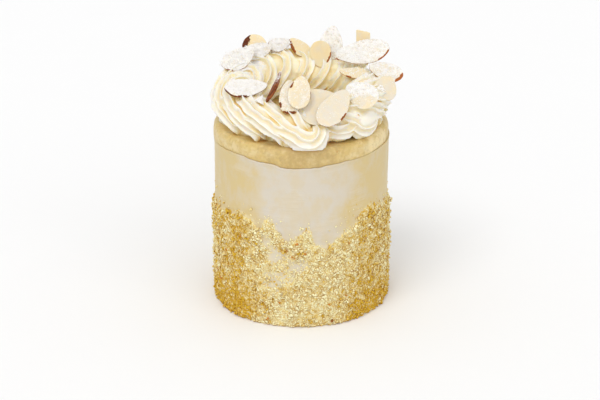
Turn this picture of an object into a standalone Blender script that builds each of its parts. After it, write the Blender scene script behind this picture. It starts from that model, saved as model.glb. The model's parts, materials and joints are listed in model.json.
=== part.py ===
"""Mini almond cake: a round iced cake with a coat of crumbs round its lower half, a layer of almond
custard on top, a ring of cream piped with a star nozzle, and natural sliced almonds stuck in it.

Metres, +Z up, standing on z = 0 with the axis of the cake at x = y = 0. The front is at -Y, and angles
run counter-clockwise from +X, so that the front is at 270 degrees.
"""

import math
import random

import bmesh
import bpy
import numpy as np
from mathutils import Euler, Matrix, Vector, noise

MM = 0.001

# Driving dimensions of the cake
CAKE_RADIUS = 38.0 * MM
ICED_HEIGHT = 75.6 * MM
CUSTARD_RADIUS = 37.9 * MM
CUSTARD_THICKNESS = 6.4 * MM
GAP = 0.3 * MM
TURN_STEPS = 64

# The crumb coat
COAT_THICKNESS = 0.8 * MM
COAT_EDGE_HEIGHT = 42.5 * MM
COAT_EDGE_WAVE = 3.5 * MM
COAT_EDGE_FADE = 5.0 * MM
CRUMB_COUNT = 80
CRUMB_RADIUS = (0.9 * MM, 1.6 * MM)
# Bare patches in the coat: angle in degrees, height and radius
BARE_PATCHES = ((250, 33 * MM, 5 * MM), (260, 21 * MM, 6 * MM), (269, 30 * MM, 6 * MM))

# The custard hangs a little lower at the front, over 18 degrees each way
FRONT_SAG = 1.9 * MM
FRONT_SAG_ANGLE = 269
FRONT_SAG_SPREAD = 18

# The piped ring: a star-shaped rope of cream laid in leaning loops
RING_RADIUS = 29.2 * MM
ROPE_RADIUS = 4.9 * MM
ROPE_TEETH = 8
ROPE_GROOVE = 0.32
LOOP_OUT = 5.5 * MM
LOOP_UP = 5.2 * MM
LOOP_ALONG = 9.0 * MM
LOOP_LEAN = 35
LOOP_FIRST = 341
LOOP_STEP = 21.3
LOOP_COUNT = 14
LOOP_FRONT_BULGE = 1.5 * MM
# The loops stand taller at the back left
REAR_RISE = 4.0 * MM
REAR_RISE_ANGLE = 118
REAR_RISE_SPREAD = 38
CORE_WIDTH = 1.58
CORE_HEIGHT = 9.8 * MM
CORE_ARC = (318, 616)
ROPE_SIDES = 32
RING_VOXEL = 0.8 * MM
RING_FACES = 4200

# Single passes of the rope at the front, where the ring was begun and ended. Each point is the place
# along the ring, outwards from its middle line and above the custard in mm, then the rope's width.
TAIL_PASS = (
    (-24, 1, 13.5, 1), (-17, 3.2, 11.6, 1), (-11, 5.2, 8.6, 1), (-5.2, 6.9, 5.4, 1), (-0.6, 7.7, 3.7, 1),
    (3, 7.5, 4.6, 1), (4.2, 6.8, 6.5, 0.9), (3.8, 5.6, 7.9, 0.7), (3.2, 4.4, 8.8, 0.4),
)
CROWN_PASS = (
    (-6, -6.8, 4, 0.9), (-6.5, -6.6, 8, 1), (-6.5, -3.5, 11.6, 1), (-5.5, 0.5, 12, 1), (-3, 3.6, 9.6, 0.9),
    (-0.5, 5, 6.6, 0.7),
)
FIRST_PASS = (
    (-11, -6, 5, 0.9), (-9.5, -1.5, 6.6, 1), (-6.5, 2.4, 7.2, 1), (-1.5, 4.8, 6.5, 1), (3, 4.8, 6.9, 1),
    (6, 3.4, 8.8, 0.9), (7, 1, 10, 0.8),
)
SECOND_PASS = (
    (-7, -7, 5, 0.9), (-10.5, -5.6, 9, 1), (-12, -1, 11.4, 1), (-9.5, 3.4, 10.2, 1), (-5, 5.3, 8, 1),
    (-1, 6.2, 5.6, 1), (3, 6.2, 6.2, 1), (4.8, 5.2, 9.4, 0.92), (4.4, 3, 13, 0.8), (3, 0, 14, 0.6),
)
INNER_PASS = ((-6, 3.5, 6.5, 0.7), (-2, 4, 7.5, 1.2), (3, 4, 7.8, 1.25), (8, 3, 8, 1))
MOUTH_PASS = ((-6, 2, 5, 0.8), (0, 3.6, 4.4, 0.9), (5, 3.6, 4.6, 0.9), (10, 2, 5, 0.8))
FRONT_PASSES = ((275, TAIL_PASS), (274, CROWN_PASS), (299, FIRST_PASS), (316.5, SECOND_PASS))
# Round passes beneath them, which leave no hollow
ROUND_PASSES = ((317, INNER_PASS), (280, MOUTH_PASS))

# Sliced almonds. Each is placed by its angle round the cake, distance from the axis and height over the
# custard (mm), then by how far it leans from flat, the angle that its upper face looks to, the heading
# of its long side (degrees), and its length and width (mm).
ALMOND_THICKNESS = 1.0 * MM
ALMOND_SIDES = 16
ALMONDS = {
    "almond_rear_left": (128, 33.3, 22.9, 50, 262, 276, 14, 11),
    "almond_left_dusted": (130.9, 29.5, 23.4, 32, 270, 20, 13, 9),
    "almond_left_flat": (152, 31.0, 22.4, 30, 270, 42, 17, 11),
    "almond_rear_dusted": (109, 30.0, 24.5, 30, 265, 12, 10, 8),
    "almond_rear_rimmed": (90.8, 30.0, 22.6, 40, 300, 152, 11.5, 8),
    "almond_rear_tan": (71, 26.4, 21.0, 62, 258, 268, 12, 9.5),
    "almond_rear_tall": (66, 32.2, 23.4, 66, 258, 76, 18, 11),
    "almond_largest": (32, 31.7, 24.8, 36, 250, 178, 24, 13),
    "almond_chip_behind": (43, 37.4, 27.0, 72, 263, 88, 22, 6),
    "almond_right_rimmed": (11.5, 37.6, 19.0, 28, 300, 176, 15.5, 11.5),
    "almond_right_low": (19, 24.0, 18.4, 14, 265, 172, 12, 8),
    "almond_right_side": (348, 37.0, 16.6, 40, 300, 80, 13, 10),
    "almond_right_sugared": (316, 35.0, 19.4, 42, 270, 150, 14.5, 12),
    "almond_front_broad": (293, 34.8, 16.2, 38, 268, 57, 20, 11.5),
    "almond_front_hole": (286.3, 29.6, 15.6, 38, 272, 5, 20, 17.5),
    "almond_front_round": (269, 29.5, 22.0, 58, 277, 84, 14, 9.5),
    "almond_front_behind": (261, 29.0, 19.6, 58, 258, 87, 14.5, 9.5),
    "almond_front_edge": (243, 25.3, 21.8, 56, 194, 35, 14.5, 4.6),
    "almond_front_chip": (240, 31.9, 18.3, 40, 290, 345, 5, 4.5),
    "almond_front_left": (218, 29.4, 20.4, 18, 265, 2, 18, 12),
    "almond_back_1": (20, 38.5, 10.0, 62, 20, 95, 15, 10),
    "almond_back_2": (66, 38.0, 14.0, 48, 66, 130, 16, 11),
    "almond_back_3": (100, 38.5, 13.0, 52, 100, 20, 17, 10),
    "almond_back_4": (136, 38.5, 11.0, 58, 136, 70, 15, 11),
}
# A slice that was broken across keeps only this share of its half length at its pointed end
BROKEN = {"almond_chip_behind": 0.45, "almond_front_chip": 0.4}

CUSTARD_TOP = ICED_HEIGHT + CUSTARD_THICKNESS
LOOP_CENTRE_HEIGHT = CUSTARD_TOP + ROPE_RADIUS + LOOP_UP - GAP


def clear_scene():
    for item in list(bpy.data.objects):
        bpy.data.objects.remove(item)


def new_collection(name):
    collection = bpy.data.collections.new(name)
    bpy.context.scene.collection.children.link(collection)
    return collection


def material(name, colour, roughness):
    made = bpy.data.materials.new(name)
    made.use_nodes = True
    shader = made.node_tree.nodes["Principled BSDF"]
    shader.inputs["Base Color"].default_value = (*colour, 1)
    shader.inputs["Roughness"].default_value = roughness
    shader.inputs["Metallic"].default_value = 0
    return made


def add_object(name, data, collection, finish=None):
    made = bpy.data.objects.new(name, data)
    collection.objects.link(made)
    if finish is not None:
        made.data.materials.append(finish)
    return made


def evaluated_mesh(item):
    """The object's mesh with its modifiers applied."""
    bpy.context.view_layer.update()
    graph = bpy.context.evaluated_depsgraph_get()
    return bpy.data.meshes.new_from_object(item.evaluated_get(graph))


def apply_modifiers(item):
    """Leaves the object with its evaluated mesh and no modifiers."""
    mesh = evaluated_mesh(item)
    item.modifiers.clear()
    item.data = mesh


def add_boolean(item, operation, solver, other=None, collection=None):
    modifier = item.modifiers.new(operation.title(), "BOOLEAN")
    modifier.operation = operation
    modifier.solver = solver
    if collection is None:
        modifier.object = other
    else:
        modifier.operand_type = "COLLECTION"
        modifier.collection = collection
    return modifier


def keep_largest_body(item):
    """Drops loose scraps, so that the mesh is one body."""
    work = bmesh.new()
    work.from_mesh(item.data)
    work.verts.ensure_lookup_table()
    left = set(work.verts)
    bodies = []
    while left:
        stack = [left.pop()]
        body = set(stack)
        while stack:
            for edge in stack.pop().link_edges:
                for vertex in edge.verts:
                    if vertex not in body:
                        body.add(vertex)
                        left.discard(vertex)
                        stack.append(vertex)
        bodies.append(body)
    bodies.sort(key=len)
    for body in bodies[:-1]:
        bmesh.ops.delete(work, geom=list(body), context="VERTS")
    work.to_mesh(item.data)
    work.free()


def shade(item, angle):
    item.data.shade_smooth()
    item.data.set_sharp_from_angle(angle=math.radians(angle))


def turned(name, profile, steps, collection, finish):
    """A solid turned from an outline that runs down its outer side, given as (radius, height)."""
    mesh = bpy.data.meshes.new(name)
    edges = [(i, i + 1) for i in range(len(profile) - 1)]
    mesh.from_pydata([(radius, 0, height) for radius, height in profile], edges, [])
    item = add_object(name, mesh, collection, finish)
    screw = item.modifiers.new("Screw", "SCREW")
    screw.steps = steps
    screw.render_steps = steps
    screw.use_merge_vertices = True
    screw.merge_threshold = 0.0001
    screw.use_smooth_shade = True
    apply_modifiers(item)
    return item


def angle_between(first, second):
    return (first - second + 180) % 360 - 180


def front_sag(degrees, radius):
    """How far the joint between the icing and the custard drops, at the rim only."""
    rim = min(1, max(0, (radius - 0.8 * CAKE_RADIUS) / (0.15 * CAKE_RADIUS)))
    away = angle_between(degrees, FRONT_SAG_ANGLE) / FRONT_SAG_SPREAD
    return FRONT_SAG * rim * math.exp(-away * away)


def coat_edge(degrees):
    """The height that the crumb coat reaches at an angle."""
    turn = math.radians(degrees - 270)
    height = COAT_EDGE_HEIGHT - COAT_EDGE_WAVE * math.cos(3 * turn) + 1.2 * MM * math.sin(7 * turn + 1)
    for peak in (246, 272):
        height += 3 * MM * math.exp(-((angle_between(degrees, peak) / 6) ** 2))
    return height


def coat_cover(degrees, height):
    """1 where the crumbs lie thick, 0 where the icing is bare."""
    cover = min(1, max(0, (coat_edge(degrees) - height) / COAT_EDGE_FADE + 0.5))
    for angle, middle, radius in BARE_PATCHES:
        across = math.radians(angle_between(degrees, angle)) * CAKE_RADIUS
        cover *= 1 - 0.8 * math.exp(-(across * across + (height - middle) ** 2) / radius**2)
    return cover


def iced_surface(degrees, height):
    """The radius of the iced side, with the marks of the spatula and the coat of crumbs."""
    turn = math.radians(degrees)
    wave = 0.16 * MM * math.sin(3 * turn + 1) + 0.12 * MM * math.sin(5 * turn + height / (9 * MM))
    place = Vector((math.cos(turn) * 5, math.sin(turn) * 5, height / (8 * MM)))
    relief = COAT_THICKNESS * coat_cover(degrees, height) * (1 + 0.5 * noise.noise(place))
    return CAKE_RADIUS + wave + relief


def iced_cake(collection, finish):
    """The uncut cake under its icing, one solid, with the relief of the coat on its side."""
    foot, rim = 0.6 * MM, 0.4 * MM
    sides = [65, 54] + [48 - 4.8 * i for i in range(10)]
    profile = [(0, ICED_HEIGHT), (0.78 * CAKE_RADIUS, ICED_HEIGHT), (CAKE_RADIUS - rim, ICED_HEIGHT)]
    profile += [(CAKE_RADIUS, ICED_HEIGHT - rim)]
    profile += [(CAKE_RADIUS, height * MM) for height in sides]
    profile += [(CAKE_RADIUS, foot), (CAKE_RADIUS - foot, 0), (0, 0)]
    item = turned("iced_cake", profile, TURN_STEPS, collection, finish)
    for vertex in item.data.vertices:
        x, y, z = vertex.co
        radius = math.hypot(x, y)
        if radius < 0.7 * CAKE_RADIUS:
            continue
        degrees = math.degrees(math.atan2(y, x))
        if z > foot / 2:
            grown = radius + iced_surface(degrees, min(z, ICED_HEIGHT)) - CAKE_RADIUS
            vertex.co.x, vertex.co.y = x * grown / radius, y * grown / radius
        if z > ICED_HEIGHT - 2 * rim:
            vertex.co.z -= front_sag(degrees, radius)
    return item


def crumb(name, radius, rng, collection):
    """One lump of cake, an icosphere pressed out of round."""
    mesh = bpy.data.meshes.new(name)
    work = bmesh.new()
    bmesh.ops.create_icosphere(work, subdivisions=1, radius=radius)
    for vertex in work.verts:
        vertex.co *= rng.uniform(0.8, 1.15)
    work.to_mesh(mesh)
    work.free()
    item = add_object(name, mesh, collection)
    item.rotation_euler = Euler([rng.uniform(0, math.tau) for _ in range(3)])
    return item


def add_crumbs(cake):
    """Fuses the larger crumbs to the coat with one union."""
    rng = random.Random(7)
    crumbs = new_collection("crumbs")
    made = 0
    while made < CRUMB_COUNT:
        degrees = (made * 137.508 + rng.uniform(-6, 6)) % 360
        height = rng.uniform(0.05, 1.05) * coat_edge(degrees)
        radius = rng.uniform(*CRUMB_RADIUS)
        keep = coat_cover(degrees, height) > 0.4
        height = max(height, 1.25 * radius)
        if not keep:
            degrees, height = degrees + 180, 0.3 * coat_edge(degrees)
        reach = iced_surface(degrees, height) + 0.1 * MM
        item = crumb(f"crumb_{made:03d}", radius, rng, crumbs)
        turn = math.radians(degrees)
        item.location = (reach * math.cos(turn), reach * math.sin(turn), height)
        made += 1
    add_boolean(cake, "UNION", "MANIFOLD", collection=crumbs)
    apply_modifiers(cake)
    for item in list(crumbs.objects):
        bpy.data.objects.remove(item)
    bpy.data.collections.remove(crumbs)
    keep_largest_body(cake)
    shade(cake, 50)


def custard_layer(collection, finish):
    """The almond custard on top, right through the cake, with a soft upper edge."""
    bottom = ICED_HEIGHT + GAP
    edge = CUSTARD_RADIUS
    shoulder = 2.2 * MM
    profile = [(0, CUSTARD_TOP), (0.5 * edge, CUSTARD_TOP)]
    for i in range(4):
        turn = math.radians(30 * i)
        radius = edge - shoulder + shoulder * math.sin(turn)
        profile.append((radius, CUSTARD_TOP - shoulder + shoulder * math.cos(turn)))
    profile += [(edge + 0.1 * MM, bottom + 0.4 * MM), (edge - 0.2 * MM, bottom)]
    profile += [(0.78 * CAKE_RADIUS, bottom), (0, bottom)]
    item = turned("custard_top", profile, TURN_STEPS, collection, finish)
    for vertex in item.data.vertices:
        x, y, z = vertex.co
        radius = math.hypot(x, y)
        if radius < 0.7 * CAKE_RADIUS:
            continue
        degrees = math.degrees(math.atan2(y, x))
        turn = math.radians(degrees)
        uneven = 0.15 * MM * math.sin(4 * turn) + 0.1 * MM * math.sin(9 * turn + 2)
        grown = radius + uneven
        vertex.co.x, vertex.co.y = x * grown / radius, y * grown / radius
        if z < bottom + 2 * MM:
            vertex.co.z -= front_sag(degrees, radius)
    return item


def rope_section(name, groove, collection):
    """The outline of a rope of cream: a star, or round where there is no groove."""
    curve = bpy.data.curves.new(name, "CURVE")
    curve.dimensions = "2D"
    spline = curve.splines.new("POLY")
    spline.points.add(ROPE_SIDES - 1)
    for i, point in enumerate(spline.points):
        turn = math.tau * i / ROPE_SIDES
        radius = ROPE_RADIUS * (1 - groove * abs(math.sin(ROPE_TEETH * turn / 2)) ** 0.9)
        point.co = (radius * math.cos(turn), radius * math.sin(turn), 0, 1)
    spline.use_cyclic_u = True
    item = add_object(name, curve, collection)
    item.hide_render = True
    return item


def on_ring(angle, outwards, height):
    radius = RING_RADIUS + outwards
    return (radius * math.cos(angle), radius * math.sin(angle), height)


def rear_rise(degrees):
    away = angle_between(degrees, REAR_RISE_ANGLE) / REAR_RISE_SPREAD
    return REAR_RISE * math.exp(-away * away)


def loops_path():
    """The middle of the rope in its leaning loops: it comes down the outside of the ring as it goes
    forward, turns at the foot, and climbs the inside as it goes back."""
    steps = 30 * (LOOP_COUNT - 1)
    lean = math.radians(LOOP_LEAN)
    points = []
    for i in range(steps + 1):
        loop = -0.55 + (LOOP_COUNT - 0.15) * i / steps
        phase = math.pi / 2 - lean + math.tau * loop
        middle = math.radians(LOOP_FIRST + LOOP_STEP * loop) - LOOP_ALONG / RING_RADIUS
        angle = middle + LOOP_ALONG * math.sin(phase + lean) / RING_RADIUS
        uneven = 1 + 0.06 * math.sin(2.3 * loop + 1)
        front = angle_between(math.degrees(angle), 262) / 28
        bulge = LOOP_FRONT_BULGE * math.exp(-front * front)
        out = LOOP_OUT * uneven * math.cos(phase) + bulge
        height = LOOP_CENTRE_HEIGHT - LOOP_UP * math.sin(phase)
        height += rear_rise(math.degrees(angle)) * 0.5 * (1 - math.sin(phase))
        width = min(1, 0.3 + i / 10, 0.3 + (steps - i) / 10)
        points.append((*on_ring(angle, out, height), width))
    return points


def core_path():
    """A fatter rope through the middle of the loops, which closes their eyes."""
    first, last = CORE_ARC
    points = []
    for i in range(81):
        degrees = first + (last - first) * i / 80
        height = CUSTARD_TOP + CORE_HEIGHT + 0.7 * rear_rise(degrees)
        width = CORE_WIDTH * min(1, 0.5 + 0.1 * min(i, 80 - i))
        points.append((*on_ring(math.radians(degrees), 0, height), width))
    return points


def smooth_through(knots, steps):
    """Points on a Catmull-Rom curve through the knots."""
    padded = [np.array(knot, float) for knot in (knots[0], *knots, knots[-1])]
    points = []
    for a, b, c, d in zip(padded, padded[1:], padded[2:], padded[3:]):
        for i in range(steps):
            t = i / steps
            bend = 2 * a - 5 * b + 4 * c - d
            points.append(0.5 * (2 * b + (c - a) * t + bend * t**2 + (3 * b - a - 3 * c + d) * t**3))
    points.append(padded[-1])
    return points


def pass_path(degrees, knots):
    """One pass of the rope across the ring, about the angle of its foot."""
    reach = RING_RADIUS + 6 * MM
    points = []
    for along, out, height, width in smooth_through(knots, 8):
        angle = math.radians(degrees) + along * MM / reach
        points.append((*on_ring(angle, out * MM, CUSTARD_TOP + height * MM), width))
    return points


def rope(name, points, section, collection):
    """A curve of cream through the points, whose last value is the rope's width."""
    curve = bpy.data.curves.new(name, "CURVE")
    curve.dimensions = "3D"
    spline = curve.splines.new("POLY")
    spline.points.add(len(points) - 1)
    for point, (x, y, z, width) in zip(spline.points, points):
        point.co = (x, y, z, 1)
        point.radius = width
    curve.bevel_mode = "OBJECT"
    curve.bevel_object = section
    curve.use_fill_caps = True
    curve.twist_mode = "MINIMUM"
    return add_object(name, curve, collection)


def fused_ropes(collection, finish):
    """All the passes of cream as one mesh, remeshed into one body."""
    section = rope_section("star_section", ROPE_GROOVE, collection)
    round_section = rope_section("round_section", 0, collection)
    ropes = [rope("loops", loops_path(), section, collection)]
    ropes.append(rope("core", core_path(), round_section, collection))
    for number, (degrees, knots) in enumerate(FRONT_PASSES):
        ropes.append(rope(f"pass_{number}", pass_path(degrees, knots), section, collection))
    for number, (degrees, knots) in enumerate(ROUND_PASSES):
        path = pass_path(degrees, knots)
        ropes.append(rope(f"round_pass_{number}", path, round_section, collection))
    work = bmesh.new()
    for item in ropes:
        work.from_mesh(evaluated_mesh(item))
        bpy.data.objects.remove(item)
    bpy.data.objects.remove(section)
    bpy.data.objects.remove(round_section)
    bmesh.ops.remove_doubles(work, verts=work.verts, dist=0.001 * MM)
    mesh = bpy.data.meshes.new("piped_ring")
    work.to_mesh(mesh)
    work.free()
    ring = add_object("piped_ring", mesh, collection, finish)
    remesh = ring.modifiers.new("Remesh", "REMESH")
    remesh.mode = "VOXEL"
    remesh.voxel_size = RING_VOXEL
    apply_modifiers(ring)
    return ring


def slab_below(height, collection):
    """A block up to the given height, to cut the ring flat where it sits on the custard."""
    mesh = bpy.data.meshes.new("slab")
    work = bmesh.new()
    bmesh.ops.create_cube(work, size=1, matrix=Matrix.Diagonal((120 * MM, 120 * MM, 20 * MM, 1)))
    work.to_mesh(mesh)
    work.free()
    item = add_object("slab", mesh, collection)
    item.location.z = height - 10 * MM
    item.hide_render = True
    item.display_type = "WIRE"
    return item


def almond_slice(name, length, width, thickness, collection, broken=1, finish=None):
    """A thin slice of an almond, lying flat at the origin: blunt at one end, pointed at the other."""
    mesh = bpy.data.meshes.new(name)
    work = bmesh.new()
    bmesh.ops.create_circle(work, cap_ends=True, cap_tris=True, radius=1, segments=ALMOND_SIDES)
    for vertex in work.verts:
        x, y = min(vertex.co.x, broken), vertex.co.y
        narrow = 1 - 0.2 * x - 0.08 * x * x
        bow = 0.5 * MM * (x * x - 0.4) - 0.25 * MM * y * y
        vertex.co = (x * length / 2, y * narrow * width / 2, bow)
    work.to_mesh(mesh)
    work.free()
    item = add_object(name, mesh, collection, finish)
    solidify = item.modifiers.new("Solidify", "SOLIDIFY")
    solidify.thickness = thickness
    solidify.offset = 0
    return item


def place_almond(item, angle, distance, height, lean, facing, heading):
    """Stands a flat slice at its place: turned to its heading, then leant towards where it faces."""
    turn = math.radians(angle)
    middle = Vector((distance * MM * math.cos(turn), distance * MM * math.sin(turn), 0))
    middle.z = CUSTARD_TOP + height * MM
    about = math.radians(facing)
    tipped = Matrix.Rotation(about, 4, "Z") @ Matrix.Rotation(math.radians(lean), 4, "Y")
    turned_to = Matrix.Rotation(math.radians(heading) - about, 4, "Z")
    placed = Matrix.Translation(middle) @ tipped @ turned_to
    item.location = placed.to_translation()
    item.rotation_euler = placed.to_euler()


def almonds(collection, cutters, finish):
    """The slices, and a grown copy of each that cuts its slot in the cream."""
    for name, (*place, length, width) in ALMONDS.items():
        broken = BROKEN.get(name, 1)
        item = almond_slice(name, length * MM, width * MM, ALMOND_THICKNESS, collection, broken, finish)
        place_almond(item, *place)
        long, across = length * MM + 2 * GAP, width * MM + 2 * GAP
        wide = almond_slice(f"slot_{name}", long, across, ALMOND_THICKNESS + 2 * GAP, cutters, broken)
        place_almond(wide, *place)
        wide.hide_render = True
        wide.display_type = "WIRE"


def piped_ring(collection, cutters, finish):
    """The ring of cream: fused, cut flat on the custard, thinned, and slotted for the almonds."""
    ring = fused_ropes(collection, finish)
    slab = slab_below(CUSTARD_TOP + GAP, cutters)
    add_boolean(ring, "DIFFERENCE", "MANIFOLD", other=slab)
    apply_modifiers(ring)
    bpy.data.objects.remove(slab)
    keep_largest_body(ring)
    triangles = sum(len(face.vertices) - 2 for face in ring.data.polygons)
    thin = ring.modifiers.new("Decimate", "DECIMATE")
    thin.ratio = RING_FACES / triangles
    apply_modifiers(ring)
    add_boolean(ring, "DIFFERENCE", "MANIFOLD", collection=cutters)
    apply_modifiers(ring)
    keep_largest_body(ring)
    shade(ring, 60)


def main():
    clear_scene()
    parts = new_collection("mini_almond_cake")
    cutters = new_collection("cutters")
    icing = material("icing", (0.86, 0.80, 0.68), 0.6)
    custard = material("custard", (0.76, 0.60, 0.34), 0.55)
    cream = material("cream", (0.90, 0.83, 0.66), 0.45)
    almond = material("almond", (0.88, 0.80, 0.65), 0.6)
    add_crumbs(iced_cake(parts, icing))
    custard_layer(parts, custard)
    almonds(parts, cutters, almond)
    piped_ring(parts, cutters, cream)


main()
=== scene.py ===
"""Dresses the mini almond cake: its iced side with the coat of crumbs, the custard, the piped ring of
cream, the sliced almonds and the powdered sugar.

Metres, +Z up, with the front of the cake at -Y. Angles round the cake run counter-clockwise from +X, so
that the front is at 270 degrees.
"""

import json
import math
import random

import bpy
import numpy as np
from mathutils import Matrix, Vector, noise
from mathutils.bvhtree import BVHTree

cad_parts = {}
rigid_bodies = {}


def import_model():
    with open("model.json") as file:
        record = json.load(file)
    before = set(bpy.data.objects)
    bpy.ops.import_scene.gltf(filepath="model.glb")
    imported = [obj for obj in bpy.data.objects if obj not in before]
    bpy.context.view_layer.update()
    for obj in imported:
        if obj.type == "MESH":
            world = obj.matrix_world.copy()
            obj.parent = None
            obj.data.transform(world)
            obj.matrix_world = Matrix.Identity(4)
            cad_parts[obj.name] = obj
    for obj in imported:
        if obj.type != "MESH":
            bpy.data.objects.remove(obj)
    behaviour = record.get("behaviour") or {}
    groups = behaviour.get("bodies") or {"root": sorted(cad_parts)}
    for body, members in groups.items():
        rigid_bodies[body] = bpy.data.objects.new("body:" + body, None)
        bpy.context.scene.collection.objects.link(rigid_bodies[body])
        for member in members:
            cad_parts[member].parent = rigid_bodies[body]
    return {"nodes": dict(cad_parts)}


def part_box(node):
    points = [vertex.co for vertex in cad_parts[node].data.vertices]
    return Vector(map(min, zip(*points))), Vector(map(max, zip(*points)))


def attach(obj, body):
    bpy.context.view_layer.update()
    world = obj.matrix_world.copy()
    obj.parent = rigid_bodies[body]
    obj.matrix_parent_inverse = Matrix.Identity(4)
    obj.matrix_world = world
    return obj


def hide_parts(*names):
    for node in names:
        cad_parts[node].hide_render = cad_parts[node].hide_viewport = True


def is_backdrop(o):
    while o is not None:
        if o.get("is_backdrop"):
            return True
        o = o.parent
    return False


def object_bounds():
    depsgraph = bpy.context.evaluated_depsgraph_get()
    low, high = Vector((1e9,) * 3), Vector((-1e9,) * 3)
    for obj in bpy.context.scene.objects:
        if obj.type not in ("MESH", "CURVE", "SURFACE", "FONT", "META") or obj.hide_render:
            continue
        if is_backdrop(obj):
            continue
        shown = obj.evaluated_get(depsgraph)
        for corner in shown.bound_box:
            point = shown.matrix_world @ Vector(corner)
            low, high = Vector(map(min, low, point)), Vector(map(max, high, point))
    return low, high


bl_info = {
    "name": "Mini almond cake",
    "version": (1, 0, 0),
    "blender": (4, 5, 0),
    "location": "View3D > Sidebar > Almond cake",
    "description": "Adds the parts of a mini almond cake round its packed model",
    "category": "Object",
}

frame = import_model()
CAD_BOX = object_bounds()

MM = 0.001
BODY = "root"
ICED_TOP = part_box("iced_cake")[1][2]
CUSTARD_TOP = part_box("custard_top")[1][2]
ICED_RADIUS = 38 * MM
ICED_LIP = 0.28 * MM
ICED_FOOT_ROUNDING = 0.7 * MM
SPATULA_MARKS = 0.1 * MM
CUSTARD_RADIUS = 37.9 * MM
CUSTARD_LIFT = 0.05 * MM
CUSTARD_ROUNDING = 2.6 * MM
SLICE_BOW = 0.5 * MM
SLICE_CURL = 0.25 * MM
SLICE_RIPPLES = 0.12 * MM
CRUMB_SHARE = 1.0
# The triangles of the icosphere that crumbs and grains start from
ICOSPHERE_FACES = 20

# The height in mm that the crumb coat reaches at an angle, round the whole cake
COAT_EDGE = (
    (0, 46), (30, 43), (62, 48), (95, 44), (125, 47), (155, 42), (185, 46), (205, 45), (221, 47), (228, 49),
    (238, 47), (243, 42), (246, 48), (251, 49), (254, 45), (257, 41), (262, 39), (267, 41), (272, 44),
    (276, 45), (279, 38), (285, 36), (290, 37), (295, 40), (300, 42), (307, 44), (312, 49), (320, 51),
    (335, 48), (360, 46),
)
# The lowest and highest crumb in mm, and how many places are tried for each
CRUMB_HEIGHTS = (0.3, 55)
CRUMB_TRIES = 3
# How pale the crumbs are before their patches
CRUMB_TONE = 0.72
# Strays over the edge of the coat: how likely they are, and how high they go
STRAY_CHANCE = 0.02
STRAY_REACH = 9 * MM
# Bare patches in the coat: angle, height and radius in mm, and how bare
BARE_PATCHES = (
    (254, 33, 5.0, 0.85), (266, 29, 3.6, 0.85), (272, 29.5, 3, 0.7), (247, 40, 3.0, 0.85),
    (251, 21, 5.5, 0.75), (261, 24, 4.5, 0.5), (20, 30, 6, 0.6), (84, 22, 7, 0.6), (140, 33, 6, 0.7),
    (176, 18, 6, 0.5),
)
# The sizes of crumbs: piece, the setting that says how many, smallest and largest radius in mm, faces, seed
CRUMB_KINDS = (
    ("crumbs_fine", "fine", (0.2, 0.36), 12, 11),
    ("crumbs_small", "small", (0.26, 0.46), 20, 14),
    ("crumbs_medium", "medium", (0.34, 0.62), 20, 13),
    ("crumbs_clumped", "clumps", (0.55, 1.15), 80, 12),
)
# Crumbs of browned crust: how likely one is among the others, and how dark
BROWNED_CHANCE = 0.0015
BROWNED = 0.6
# The ones that stand out: angle, height and radius in mm, and how dark
CRUST_CRUMBS = (
    (261, 36.3, 0.4, 0.6), (264.5, 33.7, 0.55, 0.75), (266.2, 32.8, 0.45, 0.7), (272.5, 35.2, 0.5, 0.6),
    (302, 37.4, 0.42, 0.6), (256.3, 11.7, 0.5, 0.5), (288, 10.4, 0.42, 0.65), (289.8, 2.3, 0.75, 1.0),
    (229, 39.3, 0.5, 0.6), (300, 13, 0.4, 0.5), (40, 25, 0.55, 0.7), (75, 12, 0.5, 0.8),
    (110, 31, 0.5, 0.6), (170, 9, 0.6, 0.9), (150, 28, 0.4, 0.6), (345, 21, 0.5, 0.7), (200, 16, 0.5, 0.6),
)
CRUST_COLOUR = (0.6, 0.21, 0.02)
DARK_CRUST_COLOUR = (0.24, 0.05, 0.01)
# The icing where the thin edge of the coat has stained it
STAINED_ICING = (0.78, 0.67, 0.4)

# How far the joint between icing and custard drops below its level, round the cake: angle and mm
JOINT = (
    (0, 0.1), (40, -0.3), (80, 0.4), (130, -0.2), (170, 0.5), (200, 0.2), (222, -0.3), (230, -0.4),
    (236, 0.3), (240, 0.6), (251, 0.7), (254, 1.1), (257, 1.95), (262, 2.3), (270, 2.1), (280, 1.9),
    (290, 1.1), (300, 0.6), (310, 0.8), (322, 0.3), (360, 0.1),
)
# How brown the custard is round the cake, below 0 where it is paler: angle and share. Round the front, from
# about 250 to 300 degrees, the darker tone is a painted shadow of the cream that hangs over it; elsewhere it
# is the custard's own tone.
CUSTARD_TONE = (
    (0, 0.2), (40, 0.6), (85, 0.1), (130, 0.5), (180, 0.25), (222, 0.1), (238, 0.2), (250, 0.5), (262, 0.7),
    (276, 0.9), (288, 0.75), (302, 0.3), (315, -0.2), (325, -0.6), (340, -0.6), (350, 0.1), (360, 0.2),
)

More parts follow.
